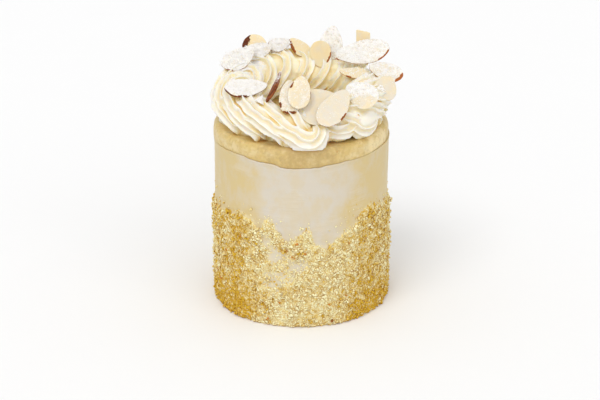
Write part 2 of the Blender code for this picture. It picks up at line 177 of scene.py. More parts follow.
# The piped ring, as in the source of the part
RING_RADIUS = 29.2 * MM
ROPE_RADIUS = 4.9 * MM
ROPE_TEETH = 8
ROPE_GROOVE = 0.38
LOOP_OUT = 5.5 * MM
LOOP_UP = 5.2 * MM
LOOP_ALONG = 9.0 * MM
LOOP_LEAN = math.radians(35)
LOOP_FIRST = 341
LOOP_STEP = 21.3
LOOP_COUNT = 14
LOOP_POINTS = 48
LOOP_FRONT_BULGE = 1.5 * MM
FRONT_BULGE_ANGLE = 262
FRONT_BULGE_SPREAD = 28
REAR_RISE = 4.0 * MM
REAR_RISE_ANGLE = 118
REAR_RISE_SPREAD = 38
CORE_WIDTH = 1.58
CORE_HEIGHT = 9.8 * MM
CORE_ARC = (318, 616)
LOOP_CENTRE_HEIGHT = CUSTARD_TOP + ROPE_RADIUS + LOOP_UP - 0.3 * MM
PASS_RADIUS = RING_RADIUS + 6 * MM
RING_PRESS = 1.5 * MM
RING_WARP = 0.55 * MM
RING_TRIANGLES = 190_000

# Passes of the rope across the ring: places along it, out of its middle and over the custard in mm, and width
TAIL_PASS = (
    (-24, 1, 13.5, 1), (-17, 3.2, 11.6, 1), (-11, 5.2, 8.6, 1), (-5.2, 6.9, 5.4, 1), (-0.6, 7.7, 3.7, 1),
    (3, 7.5, 4.6, 1), (4.2, 6.8, 6.5, 0.9), (3.8, 5.6, 7.9, 0.7), (3.2, 4.4, 8.8, 0.4),
)
CROWN_PASS = (
    (-6, -6.8, 4, 0.9), (-6.5, -6.6, 8, 1), (-6.5, -3.5, 11.6, 1), (-5.5, 0.5, 12, 1), (-3, 3.6, 9.6, 0.9),
    (-0.5, 5, 6.6, 0.7),
)
FIRST_PASS = (
    (-11, -6, 5, 0.9), (-9.5, -1.5, 6.6, 1), (-6.5, 2.1, 6.9, 0.97), (-1.5, 4.6, 5.9, 0.92),
    (2.6, 5.0, 6.1, 0.92), (5.2, 3.9, 8.0, 0.84), (6.4, 1.3, 9.6, 0.74),
)
SECOND_PASS = (
    (-7, -7, 5, 0.9), (-10.5, -5.6, 9, 1), (-12, -1, 11.4, 1), (-9.5, 3.4, 10.2, 1), (-5, 5.3, 8, 1),
    (-1, 6.2, 5.6, 1), (3, 6.2, 6.2, 1), (4.8, 5.2, 9.4, 0.92), (4.4, 3, 13, 0.8), (3, 0, 14, 0.6),
)
INNER_PASS = ((-6, 3.5, 6.5, 0.7), (-2, 4, 7.5, 1.2), (3, 4, 7.8, 1.25), (8, 3, 8, 1))
MOUTH_PASS = ((-6, 2, 5, 0.8), (0, 3, 4.6, 0.8), (5, 2.4, 4.8, 0.74), (10, 1, 5, 0.7))
# The passes with the angles of their feet, and the round ones beneath them, which leave no hollow
FRONT_PASSES = ((275, TAIL_PASS), (274, CROWN_PASS), (299, FIRST_PASS), (316.5, SECOND_PASS))
ROUND_PASSES = ((317, INNER_PASS), (280, MOUTH_PASS))
# The low ledge of cream at the foot of the front left: angle, distance from the axis and height over the
# custard in mm, and width
LEDGE_PASS = (
    (178, 31.5, 1.2, 0.15), (184, 34.2, 1.2, 0.28), (191, 32.9, 1.2, 0.36), (197, 31.6, 0.9, 0.4),
    (202, 30.4, 1.1, 0.38), (208, 30.9, 0.8, 0.4), (213, 30.1, 1.1, 0.36), (218, 30.7, 0.8, 0.4),
    (223, 30.3, 1.1, 0.36), (229, 28.9, 0.9, 0.38), (235, 29.9, 0.8, 0.4), (241, 28.8, 1.1, 0.36),
    (247, 29.2, 0.8, 0.4), (252, 28.9, 1.0, 0.38), (257, 31.8, 1.0, 0.42), (261, 33.5, 1.0, 0.42),
    (266, 32.4, 0.9, 0.4), (270, 34.0, 1.2, 0.36),
)

# The look of each slice: how tan its flesh is, how much sugar lies on it, how light its skin is, and the arcs
# of skin on its rim, each from one angle to another in the slice's own plane (0 at its point) with a width
SLICE_LOOKS = {
    "almond_rear_left": (0.8, 0.25, 0.1, ((192, 262, 0.42),)),
    "almond_left_dusted": (0.3, 1.0, 0.5, ()),
    "almond_left_flat": (0.2, 1.0, 0.5, ((-168, -138, 0.07),)),
    "almond_rear_dusted": (0.4, 1.0, 0.6, ((150, 184, 0.12),)),
    "almond_rear_rimmed": (0.8, 0.2, 0.6, ((10, 96, 0.3),)),
    "almond_rear_tan": (0.8, 0.0, 0.9, ((36, 96, 0.14), (18, 36, 0.3))),
    "almond_rear_tall": (0.0, 1.7, 0.9, ((-186, -128, 0.26),)),
    "almond_largest": (0.2, 0.95, 0.7, ((124, 172, 0.055),)),
    "almond_chip_behind": (0.7, 0.0, 0.5, ()),
    "almond_right_rimmed": (0.3, 0.75, 1.0, ((126, 190, 0.17),)),
    "almond_right_low": (0.75, 0.35, 1.0, ((58, 88, 0.12),)),
    "almond_right_side": (0.35, 0.15, 0.5, ()),
    "almond_right_sugared": (0.45, 1.0, 0.5, ()),
    "almond_front_broad": (0.25, 0.15, 0.6, ((-112, -84, 0.12),)),
    "almond_front_hole": (0.3, 0.05, 0.5, ()),
    "almond_front_round": (0.45, 0.4, 0.4, ((-110, -76, 0.05), (56, 82, 0.2))),
    "almond_front_behind": (0.45, 0.6, 0.4, ((104, 128, 0.2), (146, 208, 0.16))),
    "almond_front_edge": (0.3, 0.7, 0.35, ((-180, 180, 2.0),)),
    "almond_front_chip": (0.1, 1.0, 0.5, ()),
    "almond_front_left": (0.2, 1.0, 0.1, ((186, 246, 0.045), (243, 274, 0.13))),
    "almond_back_1": (0.4, 0.3, 0.6, ((40, 150, 0.1),)),
    "almond_back_2": (0.7, 0.2, 0.3, ((-60, 40, 0.12),)),
    "almond_back_3": (0.3, 0.5, 0.8, ((100, 230, 0.08),)),
    "almond_back_4": (0.6, 0.3, 0.5, ((-140, -30, 0.12),)),
}
# Broken pieces with straight edges: how many corners, and where the first one points in degrees
CHIP_CORNERS = {"almond_front_chip": (3, 0), "almond_chip_behind": (4, 38)}
# Slices with more sugar towards their upper end: how much at the foot and at the top
SUGAR_BY_HEIGHT = {"almond_front_edge": (-0.55, 0.5), "almond_right_sugared": (0.2, 0.85)}

# Slices whose rims are lost in sugar, and the grains round each of them
BURIED_SLICES = ("slice_left_dusted", "slice_left_flat", "slice_rear_dusted")
BURYING_GRAINS = 500
# The radii of grains and of larger lumps and how far from the axis the grains fall, in mm, and how many
# fall for each that may stay
GRAIN_RADII = (0.1, 0.26)
LUMP_RADII = (0.22, 0.6)
GRAINS_FALL = (17, 44)
GRAIN_TRIES = 12
SUGAR_SEED = 41
# A height over the tips of all the slices, from which the grains fall
ABOVE_ALL = 130 * MM
# Where lumps of sugar lie: angle, distance from the axis and spread in mm, and how many
SUGAR_HEAPS = ((345, 35.5, 1.3, 30), (331, 33, 4.5, 60), (328, 30, 2.5, 30))
# Where powdered sugar lies: angle, distance from the axis and spread in mm, and how thick
SUGAR_SPOTS = (
    (158, 29, 11, 1.0), (138, 29, 8, 0.9), (178, 28, 7, 0.6), (120, 30, 5, 0.5), (104, 30, 5, 0.5),
    (221, 28, 8, 0.6), (243, 26, 5, 0.4), (262, 25, 5, 0.5), (342, 31, 4, 0.4), (5, 30, 8, 0.7),
    (28, 31, 8, 0.6), (62, 33, 6, 0.5), (82, 35, 6, 0.3), (196, 29, 5, 0.3),
)

# The soft lights: where each stands round the cake and over the floor, its spread in degrees, and its power
LIGHTS = (("key", 238, 58, 28, 0.88), ("fill", 312, 40, 40, 0.28), ("front", 268, 30, 30, 0.3))
WORLD_LIGHT = 0.74


def colour_field(name, description, *colour):
    return bpy.props.FloatVectorProperty(
        name=name, description=description, default=colour, subtype="COLOR", min=0, max=1
    )


def length_field(name, description, default):
    return bpy.props.FloatProperty(name=name, description=description, default=default, unit="LENGTH")


def count_field(name, description, default):
    return bpy.props.IntProperty(name=name, description=description, default=default, min=0)


class IcingSettings(bpy.types.PropertyGroup):
    """The cake under its icing"""

    radius: length_field("Radius", "Radius of the iced side", ICED_RADIUS)
    white: colour_field("Icing", "Colour of the thick icing", 0.652, 0.588, 0.485)
    thin: colour_field("Thin icing", "Colour where the cake shows through", 0.66, 0.515, 0.245)


class CoatSettings(bpy.types.PropertyGroup):
    """The coat of cake crumbs"""

    thickness: length_field("Thickness", "Thickness of the coat", 0.8 * MM)
    fine: count_field("Fine crumbs", "How many fine crumbs", 16000)
    small: count_field("Small crumbs", "How many small crumbs", 9900)
    medium: count_field("Medium crumbs", "How many medium crumbs", 9900)
    clumps: count_field("Clumps", "How many clumps of crumbs", 2400)
    golden: colour_field("Golden", "Colour of the darkest crumbs", 0.70, 0.445, 0.04)
    pale: colour_field("Pale", "Colour of the palest crumbs", 0.955, 0.912, 0.58)


class CustardSettings(bpy.types.PropertyGroup):
    """The layer of almond custard"""

    colour: colour_field("Custard", "Colour of the custard", 0.68, 0.50, 0.19)
    pale: colour_field("Pale", "Colour of its paler patches", 0.76, 0.615, 0.33)
    baked: colour_field("Baked", "Colour of its browner parts", 0.54, 0.38, 0.15)


class CreamSettings(bpy.types.PropertyGroup):
    """The piped ring of cream"""

    voxel: length_field("Fineness", "Voxel of the fused cream", 0.3 * MM)
    colour: colour_field("Cream", "Colour of the cream", 0.815, 0.755, 0.645)
    # Painted highlight: the thin ridges are painted paler, as where light catches them
    crest_highlight: colour_field("Crests", "Colour of the thin ridges", 0.90, 0.86, 0.755)
    # Painted light: the side of the ring that faces the hollow, towards the back, is given a paler, warmer
    # colour as if lit by the rest of the ring
    inner: colour_field("Inner side", "Colour of the side that faces the hollow", 0.99, 0.885, 0.66)
    # Painted shade: the deepest hollows are painted a warmer gold, for the warm shadows there
    deep: colour_field("Hollows", "Colour of the deepest hollows", 0.90, 0.68, 0.27)
    # Painted shade: the grooves are painted golden, for the shade in them
    groove: colour_field("Grooves", "Colour deep in the grooves", 0.87, 0.75, 0.44)


class AlmondSettings(bpy.types.PropertyGroup):
    """The sliced almonds"""

    thickness: length_field("Thickness", "Thickness of a slice", 0.85 * MM)
    flesh: colour_field("Flesh", "Colour of the pale flesh", 0.765, 0.70, 0.585)
    tan: colour_field("Tan flesh", "Colour of the darker flesh", 0.85, 0.71, 0.44)
    skin: colour_field("Skin", "Colour of the dark skin", 0.115, 0.024, 0.007)
    light_skin: colour_field("Light skin", "Colour of the light skin", 0.40, 0.125, 0.03)


class SugarSettings(bpy.types.PropertyGroup):
    """The powdered sugar"""

    grains: count_field("Grains", "How many lumps of sugar", 7500)
    colour: colour_field("Sugar", "Colour of the sugar", 0.965, 0.94, 0.905)


class StageSettings(bpy.types.PropertyGroup):
    """The floor, lights and camera"""

    floor: colour_field("Floor", "Colour of the floor", 0.93, 0.93, 0.93)
    lens: bpy.props.FloatProperty(name="Lens", description="Focal length in mm", default=98.1)
    pitch: bpy.props.FloatProperty(
        name="Pitch", description="How far it looks down", default=math.radians(23.04), subtype="ANGLE"
    )
    distance: length_field("Distance", "Camera's distance in front of the axis", 0.667)
    height: length_field("Height", "Camera's height", 0.327)
    shift: length_field("Sideways", "Camera's distance to the right of the axis", -0.43 * MM)


SETTINGS = {
    "cake_icing": IcingSettings,
    "cake_coat": CoatSettings,
    "cake_custard": CustardSettings,
    "cake_cream": CreamSettings,
    "cake_almonds": AlmondSettings,
    "cake_sugar": SugarSettings,
    "cake_stage": StageSettings,
}


# Meshes


def deselect_all():
    if bpy.context.object is not None and bpy.context.object.mode != "OBJECT":
        bpy.ops.object.mode_set(mode="OBJECT")
    bpy.ops.object.select_all(action="DESELECT")


def make_active(item):
    deselect_all()
    item.select_set(True)
    bpy.context.view_layer.objects.active = item


def add_to_scene(name, data):
    item = bpy.data.objects.new(name, data)
    bpy.context.scene.collection.objects.link(item)
    return item


def apply_modifier(item, kind, **values):
    make_active(item)
    modifier = item.modifiers.new(kind.title(), kind)
    for name, value in values.items():
        setattr(modifier, name, value)
    bpy.ops.object.modifier_apply(modifier=modifier.name)


def finish_piece(item, name, material, slot, *nodes):
    """Leaves the piece at the origin, named, in its material and fastened to the cake."""
    item.name = name
    item.data.name = name
    make_active(item)
    bpy.ops.object.transform_apply(location=True, rotation=True, scale=True)
    item.data.materials.clear()
    item.data.materials.append(material)
    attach(item, BODY)
    if nodes:
        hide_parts(*nodes)


def add_cylinder(radius, sides, low, high):
    deselect_all()
    depth = high - low
    bpy.ops.mesh.primitive_cylinder_add(
        vertices=sides, radius=radius, depth=depth, location=(0, 0, low + depth / 2), end_fill_type="NGON"
    )
    bpy.ops.object.transform_apply(location=True)
    return bpy.context.object


def select_where(item, kind, test):
    """Goes into edit mode with only the edges or faces selected that pass a test."""
    make_active(item)
    bpy.ops.object.mode_set(mode="EDIT")
    bpy.ops.mesh.select_mode(type=kind)
    bpy.ops.mesh.select_all(action="DESELECT")
    bpy.ops.object.mode_set(mode="OBJECT")
    for part in item.data.edges if kind == "EDGE" else item.data.polygons:
        part.select = test(part)
    bpy.ops.object.mode_set(mode="EDIT")


def select_edges(item, test):
    """Selects in edit mode the edges that pass a test of the heights of their lower and upper end."""
    select_where(item, "EDGE", lambda edge: test(*sorted(item.data.vertices[i].co.z for i in edge.vertices)))


def edit_all(item, operator, **values):
    """Runs one of the operators of edit mode on the whole mesh."""
    make_active(item)
    bpy.ops.object.mode_set(mode="EDIT")
    bpy.ops.mesh.select_all(action="SELECT")
    operator(**values)
    bpy.ops.object.mode_set(mode="OBJECT")


def vectors_of(parts, name):
    values = np.empty(len(parts) * 3, np.float32)
    parts.foreach_get(name, values)
    return values.reshape(-1, 3).astype(np.float64)


def points_of(mesh):
    return vectors_of(mesh.vertices, "co")


def normals_of(mesh):
    return vectors_of(mesh.vertex_normals, "vector")


def set_points(mesh, points):
    mesh.vertices.foreach_set("co", np.ascontiguousarray(points, np.float32).ravel())
    mesh.update()


def set_attribute(mesh, name, values):
    """Keeps a value for each point of the mesh, or the same one for all of them."""
    attribute = mesh.attributes.new(name, "FLOAT", "POINT")
    values = np.broadcast_to(values, len(mesh.vertices))
    attribute.data.foreach_set("value", np.ascontiguousarray(values, np.float32))


def mesh_from_arrays(name, points, triangles):
    mesh = bpy.data.meshes.new(name)
    mesh.vertices.add(len(points))
    mesh.vertices.foreach_set("co", np.ascontiguousarray(points, np.float32).ravel())
    mesh.loops.add(len(triangles) * 3)
    mesh.loops.foreach_set("vertex_index", np.ascontiguousarray(triangles, np.int32).ravel())
    mesh.polygons.add(len(triangles))
    mesh.polygons.foreach_set("loop_start", np.arange(0, len(triangles) * 3, 3, dtype=np.int32))
    mesh.update(calc_edges=True)
    mesh.validate()
    return add_to_scene(name, mesh)


def relief_of(mesh, rounds):
    """How far each point stands out of the smoothed surface in mm: ridges above 0, grooves below."""
    points, normals = points_of(mesh), normals_of(mesh)
    ends = np.empty(len(mesh.edges) * 2, np.int32)
    mesh.edges.foreach_get("vertices", ends)
    first, second = ends.reshape(-1, 2).T
    count = np.maximum(np.bincount(ends, minlength=len(points)), 1)
    smooth = points.copy()
    for _ in range(rounds):
        for column in smooth.T:
            total = np.bincount(first, column[second], len(points))
            column[:] = (total + np.bincount(second, column[first], len(points))) / count
    return ((points - smooth) * normals).sum(axis=1) / MM


def smoothstep(low, high, value):
    share = np.clip((value - low) / (high - low + 1e-9), 0, 1)
    return share * share * (3 - 2 * share)


def angle_between(first, second):
    return (first - second + 180) % 360 - 180


def at_angle(table, degrees):
    """What a table of angles round the cake and values says at each angle."""
    return np.interp(np.mod(degrees, 360), *zip(*table))


def round_cake(points):
    """The angle round the cake and the distance from its axis of each point."""
    return np.degrees(np.arctan2(points[:, 1], points[:, 0])), np.hypot(points[:, 0], points[:, 1])


def side_place(degrees, height, radius):
    """Places at the angles round the cake, at a height and a distance from its axis."""
    turn = np.radians(degrees)
    return np.stack([np.cos(turn) * radius, np.sin(turn) * radius, height + 0 * turn], -1)


def noise_at(points, size, seed=0):
    """Smooth noise from -1 to 1 at each point, with lumps of about the given size."""
    shift = 17.3 * seed
    return np.array([noise.noise((x / size + shift, y / size, z / size)) for x, y, z in points])


def lump_shapes(count, roughness, faces, seed):
    """Crumb shapes of radius 1: icospheres pulled out of round and thinned, as (points, triangles)."""
    rng = random.Random(seed)
    shapes = []
    for _ in range(count):
        deselect_all()
        bpy.ops.mesh.primitive_ico_sphere_add(subdivisions=1, radius=1)
        lump = bpy.context.object
        for vertex in lump.data.vertices:
            far = noise.noise(vertex.co * 1.3 + Vector((rng.random() * 0.2, 7.1 * len(shapes), 0)))
            vertex.co *= 1 + roughness * far + rng.uniform(-0.5, 0.5) * roughness
        if faces < len(lump.data.polygons):
            apply_modifier(lump, "DECIMATE", ratio=faces / len(lump.data.polygons))
        triangles = np.array([list(face.vertices) for face in lump.data.polygons if len(face.vertices) == 3])
        shapes.append((points_of(lump.data), triangles))
        bpy.data.objects.remove(lump)
    return shapes


def clump_of(shapes, rng):
    """Four lumps that cling together, as one shape."""
    points, triangles = [], []
    start = 0
    for _ in range(4):
        shape, faces = shapes[rng.randrange(len(shapes))]
        away = np.array([rng.gauss(0, 0.42) for _ in range(3)])
        points.append(shape * rng.uniform(0.4, 0.62) + away)
        triangles.append(faces + start)
        start += len(shape)
    return np.concatenate(points), np.concatenate(triangles)


def scatter(name, shapes, places, sizes, rng, turns=None):
    """One mesh of many lumps, each a turned and stretched copy of a shape: turned at random, or by the
    matrices given and then a little. It returns the object and, for each of its points, the number of the
    lump that it belongs to."""

    def turned(least, most, axis):
        return Matrix.Rotation(rng.uniform(least, most), 3, axis)

    points, triangles, owners = [], [], []
    start = 0
    for number, (place, size) in enumerate(zip(places, sizes)):
        shape, faces = shapes[rng.randrange(len(shapes))]
        if turns is None:
            turn = turned(0, math.tau, "Z") @ turned(0, math.tau, "X")
            stretch = (rng.uniform(0.8, 1.35), rng.uniform(0.8, 1.2), rng.uniform(0.7, 1.1))
        else:
            turn = turns[number] @ turned(-0.5, 0.5, "Y") @ turned(-2, 2, "X")
            stretch = (rng.uniform(0.9, 1.6), rng.uniform(0.7, 1.1), rng.uniform(0.7, 1.1))
        points.append(shape @ np.array(turn @ Matrix.Diagonal(stretch)).T * size + np.array(place))
        triangles.append(faces + start)
        owners.append(np.full(len(shape), number))
        start += len(shape)
    item = mesh_from_arrays(name, np.concatenate(points), np.concatenate(triangles))
    return item, np.concatenate(owners)


# Materials


def scaled(colour, *shares):
    """A colour times a share, or its red, green and blue each times their own."""
    return tuple(np.multiply(tuple(colour), shares))


class Finish:
    """A Principled material whose colour is laid on in steps. It is given sizes and distances in mm."""

    def __init__(self, name, roughness, specular=0.5, subsurface=0.0, spread=(1, 1, 1), depth=0.0):
        self.material = bpy.data.materials.new(name)
        self.material.use_nodes = True
        self.tree = self.material.node_tree
        self.shader = self.tree.nodes["Principled BSDF"]
        self.colour = None
        self.set_input("Roughness", roughness)
        self.set_input("Subsurface Weight", subsurface)
        self.set_input("Subsurface Radius", spread)
        self.set_input("Subsurface Scale", depth * MM)
        self.set_input("Specular IOR Level", specular)
        self.place = self.node("ShaderNodeTexCoord", {}).outputs["Object"]

    def set_input(self, name, value):
        self.fill(self.shader.inputs[name], value)

    def fill(self, socket, value):
        if isinstance(value, bpy.types.NodeSocket):
            self.tree.links.new(value, socket)
        else:
            socket.default_value = value

    def node(self, kind, inputs, **values):
        made = self.tree.nodes.new(kind)
        for name, value in values.items():
            setattr(made, name, value)
        for key, value in inputs.items():
            self.fill(made.inputs[key], value)
        return made

    def noise(self, size, detail=2.0, roughness=0.5, flatter=1.0):
        """Noise from 0 to 1 with lumps of about the given size across, and that many times flatter."""
        place = self.place
        if flatter != 1.0:
            squeezed = {"Vector": place, "Scale": (1, 1, flatter)}
            place = self.node("ShaderNodeMapping", squeezed).outputs["Vector"]
        inputs = {"Vector": place, "Scale": 1 / (size * MM), "Detail": detail, "Roughness": roughness}
        return self.node("ShaderNodeTexNoise", inputs).outputs["Fac"]

    def attribute(self, name):
        return self.node("ShaderNodeAttribute", {}, attribute_name=name).outputs["Fac"]

    def occlusion_shade(self, distance):
        """How much shade to paint, from ambient occlusion: 0 in the open, 1 deep in a groove."""
        sky = self.node("ShaderNodeAmbientOcclusion", {"Distance": distance * MM}, samples=8)
        return self.maths("SUBTRACT", 1.0, sky.outputs["AO"])

    def maths(self, operation, first, second=0.0):
        return self.node("ShaderNodeMath", {0: first, 1: second}, operation=operation).outputs["Value"]

    def remap(self, value, low, high, to_low=0.0, to_high=1.0):
        inputs = {"Value": value, "From Min": low, "From Max": high, "To Min": to_low, "To Max": to_high}
        return self.node("ShaderNodeMapRange", inputs, interpolation_type="SMOOTHSTEP").outputs["Result"]

    def uneven(self, value, pattern, least, most, low=0.3, high=0.7):
        """The value and a share that goes from least to most as the pattern goes from low to high."""
        return self.maths("ADD", value, self.remap(pattern, low, high, least, most))

    def blend(self, factor, first, second):
        """A colour between two, each a socket or a colour."""
        first, second = (c if isinstance(c, bpy.types.NodeSocket) else (*c, 1) for c in (first, second))
        return self.node("ShaderNodeMix", {0: factor, 6: first, 7: second}, data_type="RGBA").outputs[2]

    def lay(self, colour, factor):
        """Lays a colour over the others, as thick as the factor says."""
        self.colour = self.blend(factor, self.colour, colour)

    def tint(self, colour, value, low, high, most=1.0):
        """Lays a colour over the others, from none to the most as the value goes from low to high."""
        self.lay(colour, self.remap(value, low, high, 0, most))

    def done(self, height=None, strength=0.0, distance=0.0):
        """The material in its last colour, with a bumpy surface if it is given a height."""
        self.set_input("Base Color", self.colour)
        if height is not None:
            inputs = {"Height": height, "Strength": strength, "Distance": distance * MM}
            self.set_input("Normal", self.node("ShaderNodeBump", inputs).outputs["Normal"])
        return self.material


def crumb_colour(finish, tone, coat):
    """From golden through yellow to pale as the tone goes from 0 to 1."""
    middle = tuple(0.45 * golden + 0.55 * pale for golden, pale in zip(coat.golden, coat.pale))
    lower = finish.blend(finish.remap(tone, 0.0, 0.5), coat.golden, middle)
    return finish.blend(finish.remap(tone, 0.5, 1.0), lower, coat.pale)


def icing_material(icing, coat):
    """Icing whiter at the front and back, tan towards the left and right, and stained under the crumbs."""
    finish = Finish("buttercream_side", 0.45, subsurface=0.2, spread=(1, 0.8, 0.5), depth=1.2)
    across = finish.node("ShaderNodeSeparateXYZ", {"Vector": finish.place}).outputs["X"]
    across = finish.maths("ABSOLUTE", finish.maths("ADD", across, 2.5 * MM))
    across = finish.uneven(across, finish.noise(18), -7 * MM, 7 * MM)
    thin = finish.remap(across, 0.15 * icing.radius, 0.85 * icing.radius, 0.1, 1)
    thin = finish.uneven(thin, finish.noise(6, 4.0, 0.6, 0.7), -0.22, 0.22, 0.35, 0.65)
    finish.colour = finish.blend(thin, icing.white, icing.thin)
    marks = finish.remap(finish.noise(13, 1.0), 0.42, 0.62)
    marks = finish.maths("MULTIPLY", finish.noise(8, 4.0, 0.65, 11), marks)
    finish.tint(scaled(icing.white, 1.12), marks, 0.35, 0.8, 0.4)
    coated = finish.attribute("coat")
    finish.tint(STAINED_ICING, coated, 0.0, 0.3, 0.4)
    crumbs = crumb_colour(finish, finish.remap(finish.noise(1.1, 3.0, 0.7), 0.3, 0.7, 0.05, 0.85), coat)
    finish.tint(crumbs, finish.uneven(coated, finish.noise(1.3), -0.3, 0.3), 0.45, 0.6)
    return finish.done(marks, 0.4, 0.4)


def crumb_material(coat):
    """Crumbs from golden to pale, with painted shade that deepens their colour in the gaps between them, with
    a few of browned crust.
    """
    finish = Finish("cake_crumbs", 0.85, specular=0.1, subsurface=0.08, spread=(1, 0.85, 0.5), depth=0.5)
    tone = finish.uneven(finish.attribute("tone"), finish.noise(0.6), -0.2, 0.2)
    finish.colour = crumb_colour(finish, tone, coat)
    # Painted shade: a deeper golden where the crumbs are occluded
    finish.tint(scaled(coat.golden, 0.8, 0.58, 0.2), finish.occlusion_shade(1.8), 0.3, 0.75, 0.95)
    crust = finish.attribute("crust")
    rust = finish.blend(finish.remap(crust, 0.65, 1.0), CRUST_COLOUR, DARK_CRUST_COLOUR)
    finish.tint(rust, crust, 0.0, 0.6, 0.9)
    return finish.done(finish.noise(0.3), 0.6, 0.2)


def custard_material(custard):
    """Custard with paler patches and browner ones, small spots, a few bubbles with painted shade in them, and
    painted shadow where the cream meets it.
    """
    finish = Finish("baked_custard", 0.42, specular=0.35, subsurface=0.25, spread=(1, 0.65, 0.3), depth=1.5)
    patches = finish.noise(7.5, 3.0, 0.6, 1.6)
    spots = finish.noise(1.3, 3.0, 0.6)
    brown_and_shadow = finish.uneven(finish.attribute("brown_and_shadow"), finish.noise(4, 3.0, 0.6), -0.3, 0.3)
    finish.colour = custard.colour
    finish.tint(custard.pale, patches, 0.42, 0.68, 0.9)
    finish.tint(scaled(custard.pale, 1.14), brown_and_shadow, -0.1, -0.7)
    # Partly painted shadow: browner at the front, where the cream overhangs
    finish.tint(custard.baked, brown_and_shadow, 0.1, 1.0, 0.85)
    finish.tint(scaled(custard.baked, 0.85), spots, 0.5, 0.72, 0.4)
    finish.tint(custard.pale, spots, 0.5, 0.3, 0.3)
    # Painted shade inside small bubble holes
    cells = finish.node("ShaderNodeTexVoronoi", {"Vector": finish.place, "Scale": 1 / (6 * MM)})
    bubbles = finish.remap(cells.outputs["Distance"], 0.04, 0.1, 1, 0)
    bubbles = finish.maths("MULTIPLY", bubbles, finish.remap(patches, 0.6, 0.5))
    rust = scaled(custard.baked, 1, 0.68, 0.35)
    finish.lay(rust, finish.maths("MULTIPLY", bubbles, 0.7))
    # Painted shadow where the cream rests on the custard, in occluded places
    finish.tint(rust, finish.occlusion_shade(3), 0.3, 0.9, 0.7)
    return finish.done(finish.maths("SUBTRACT", spots, bubbles), 0.5, 0.4)


def cream_material(cream, sugar):
    """Cream with painted highlights on its ridges, painted shade in its grooves and hollows, painted light
    where it faces the hollow, and its powdered sugar.
    """
    finish = Finish("piped_cream", 0.4, subsurface=0.55, spread=(1, 0.82, 0.5), depth=2)
    grain, relief, shade = finish.noise(0.5), finish.attribute("relief"), finish.occlusion_shade(4)
    finish.colour = cream.colour
    # Painted light on the side that faces the hollow, towards the back
    finish.lay(cream.inner, finish.attribute("inner"))
    # Painted highlight on the ridges
    finish.tint(cream.crest_highlight, relief, 0.0, 0.25)
    # Painted shade: the grooves and occluded places are painted golden
    low = finish.maths("MAXIMUM", finish.remap(relief, 0.0, -0.3, 0, 0.7), finish.remap(shade, 0.2, 0.55))
    finish.lay(cream.groove, low)
    # Painted shade: the deepest occluded hollows are painted a warmer gold
    finish.tint(cream.deep, shade, 0.4, 0.8)
    powder = finish.remap(finish.uneven(finish.attribute("sugar"), grain, -0.3, 0.3), 0.35, 0.75)
    finish.lay(sugar.colour, powder)
    finish.set_input("Roughness", finish.remap(powder, 0, 1, 0.38, 0.9))
    return finish.done(grain, 0.35, 0.2)


def almond_material(almonds, sugar):
    """Pale or tan flesh with ragged skin along part of the rim, under powdered sugar."""
    finish = Finish("sliced_almond", 0.5, specular=0.12, subsurface=0.5, spread=(1, 0.85, 0.65), depth=1)
    grain = finish.noise(0.5)
    finish.colour = almonds.flesh
    tan = finish.uneven(finish.attribute("tan"), finish.noise(3, 3.0, 0.6), -0.25, 0.25)
    finish.tint(almonds.tan, tan, 0.0, 1.0)
    light = finish.uneven(finish.attribute("light_skin"), finish.noise(1.2, 3.0), -0.15, 0.3, 0.35)
    skin_colour = finish.blend(finish.remap(light, 0.0, 1.0), almonds.skin, almonds.light_skin)
    finish.tint(skin_colour, finish.uneven(finish.attribute("skin"), finish.noise(0.9), -0.3, 0.3), 0.4, 0.6)
    powder = finish.uneven(finish.attribute("sugar"), grain, -0.2, 0.2)
    powder = finish.remap(finish.uneven(powder, finish.noise(2.2, 3.0), -0.25, 0.15), 0.15, 0.9)
    patchy = finish.remap(finish.noise(1.4, 3.0, 0.6), 0.28, 0.52)
    finish.lay(finish.blend(patchy, scaled(almonds.flesh, 0.92), sugar.colour), powder)
    finish.set_input("Roughness", finish.remap(powder, 0, 1, 0.5, 0.95))
    return finish.done(finish.maths("ADD", grain, finish.maths("MULTIPLY", patchy, powder)), 0.35, 0.3)


def sugar_material(sugar):
    finish = Finish("powdered_sugar", 0.9)
    grain = finish.noise(0.2, 1.0)
    finish.colour = finish.blend(grain, scaled(sugar.colour, 0.96), sugar.colour)
    return finish.done(grain, 0.4, 0.1)


def floor_material(stage):
    finish = Finish("pale_floor", 0.7)
    finish.colour = finish.blend(finish.noise(50), stage.floor, scaled(stage.floor, 0.99))
    return finish.done()


# The iced side and its crumbs


def coat_edge(degrees):
    """The height in metres that the coat reaches at each angle."""
    return at_angle(COAT_EDGE, degrees) * MM


def coat_cover(degrees, height):
    """1 where the crumbs lie thick, 0 where the icing is bare."""
    cover = smoothstep(-2.5 * MM, 1.5 * MM, coat_edge(degrees) - height)
    for angle, middle, radius, bare in BARE_PATCHES:
        across = np.radians(angle_between(degrees, angle)) * ICED_RADIUS
        away = (across**2 + (height - middle * MM) ** 2) / (radius * MM) ** 2
        cover = cover * (1 - bare * np.exp(-(away**1.5)))
    return cover


def coat_lumps(flat):
    """The heaps and hollows of the crumbs, about -1 to 1."""
    return 0.6 * noise_at(flat, 3.2 * MM, 2) + 0.7 * noise_at(flat, 1.4 * MM, 3)


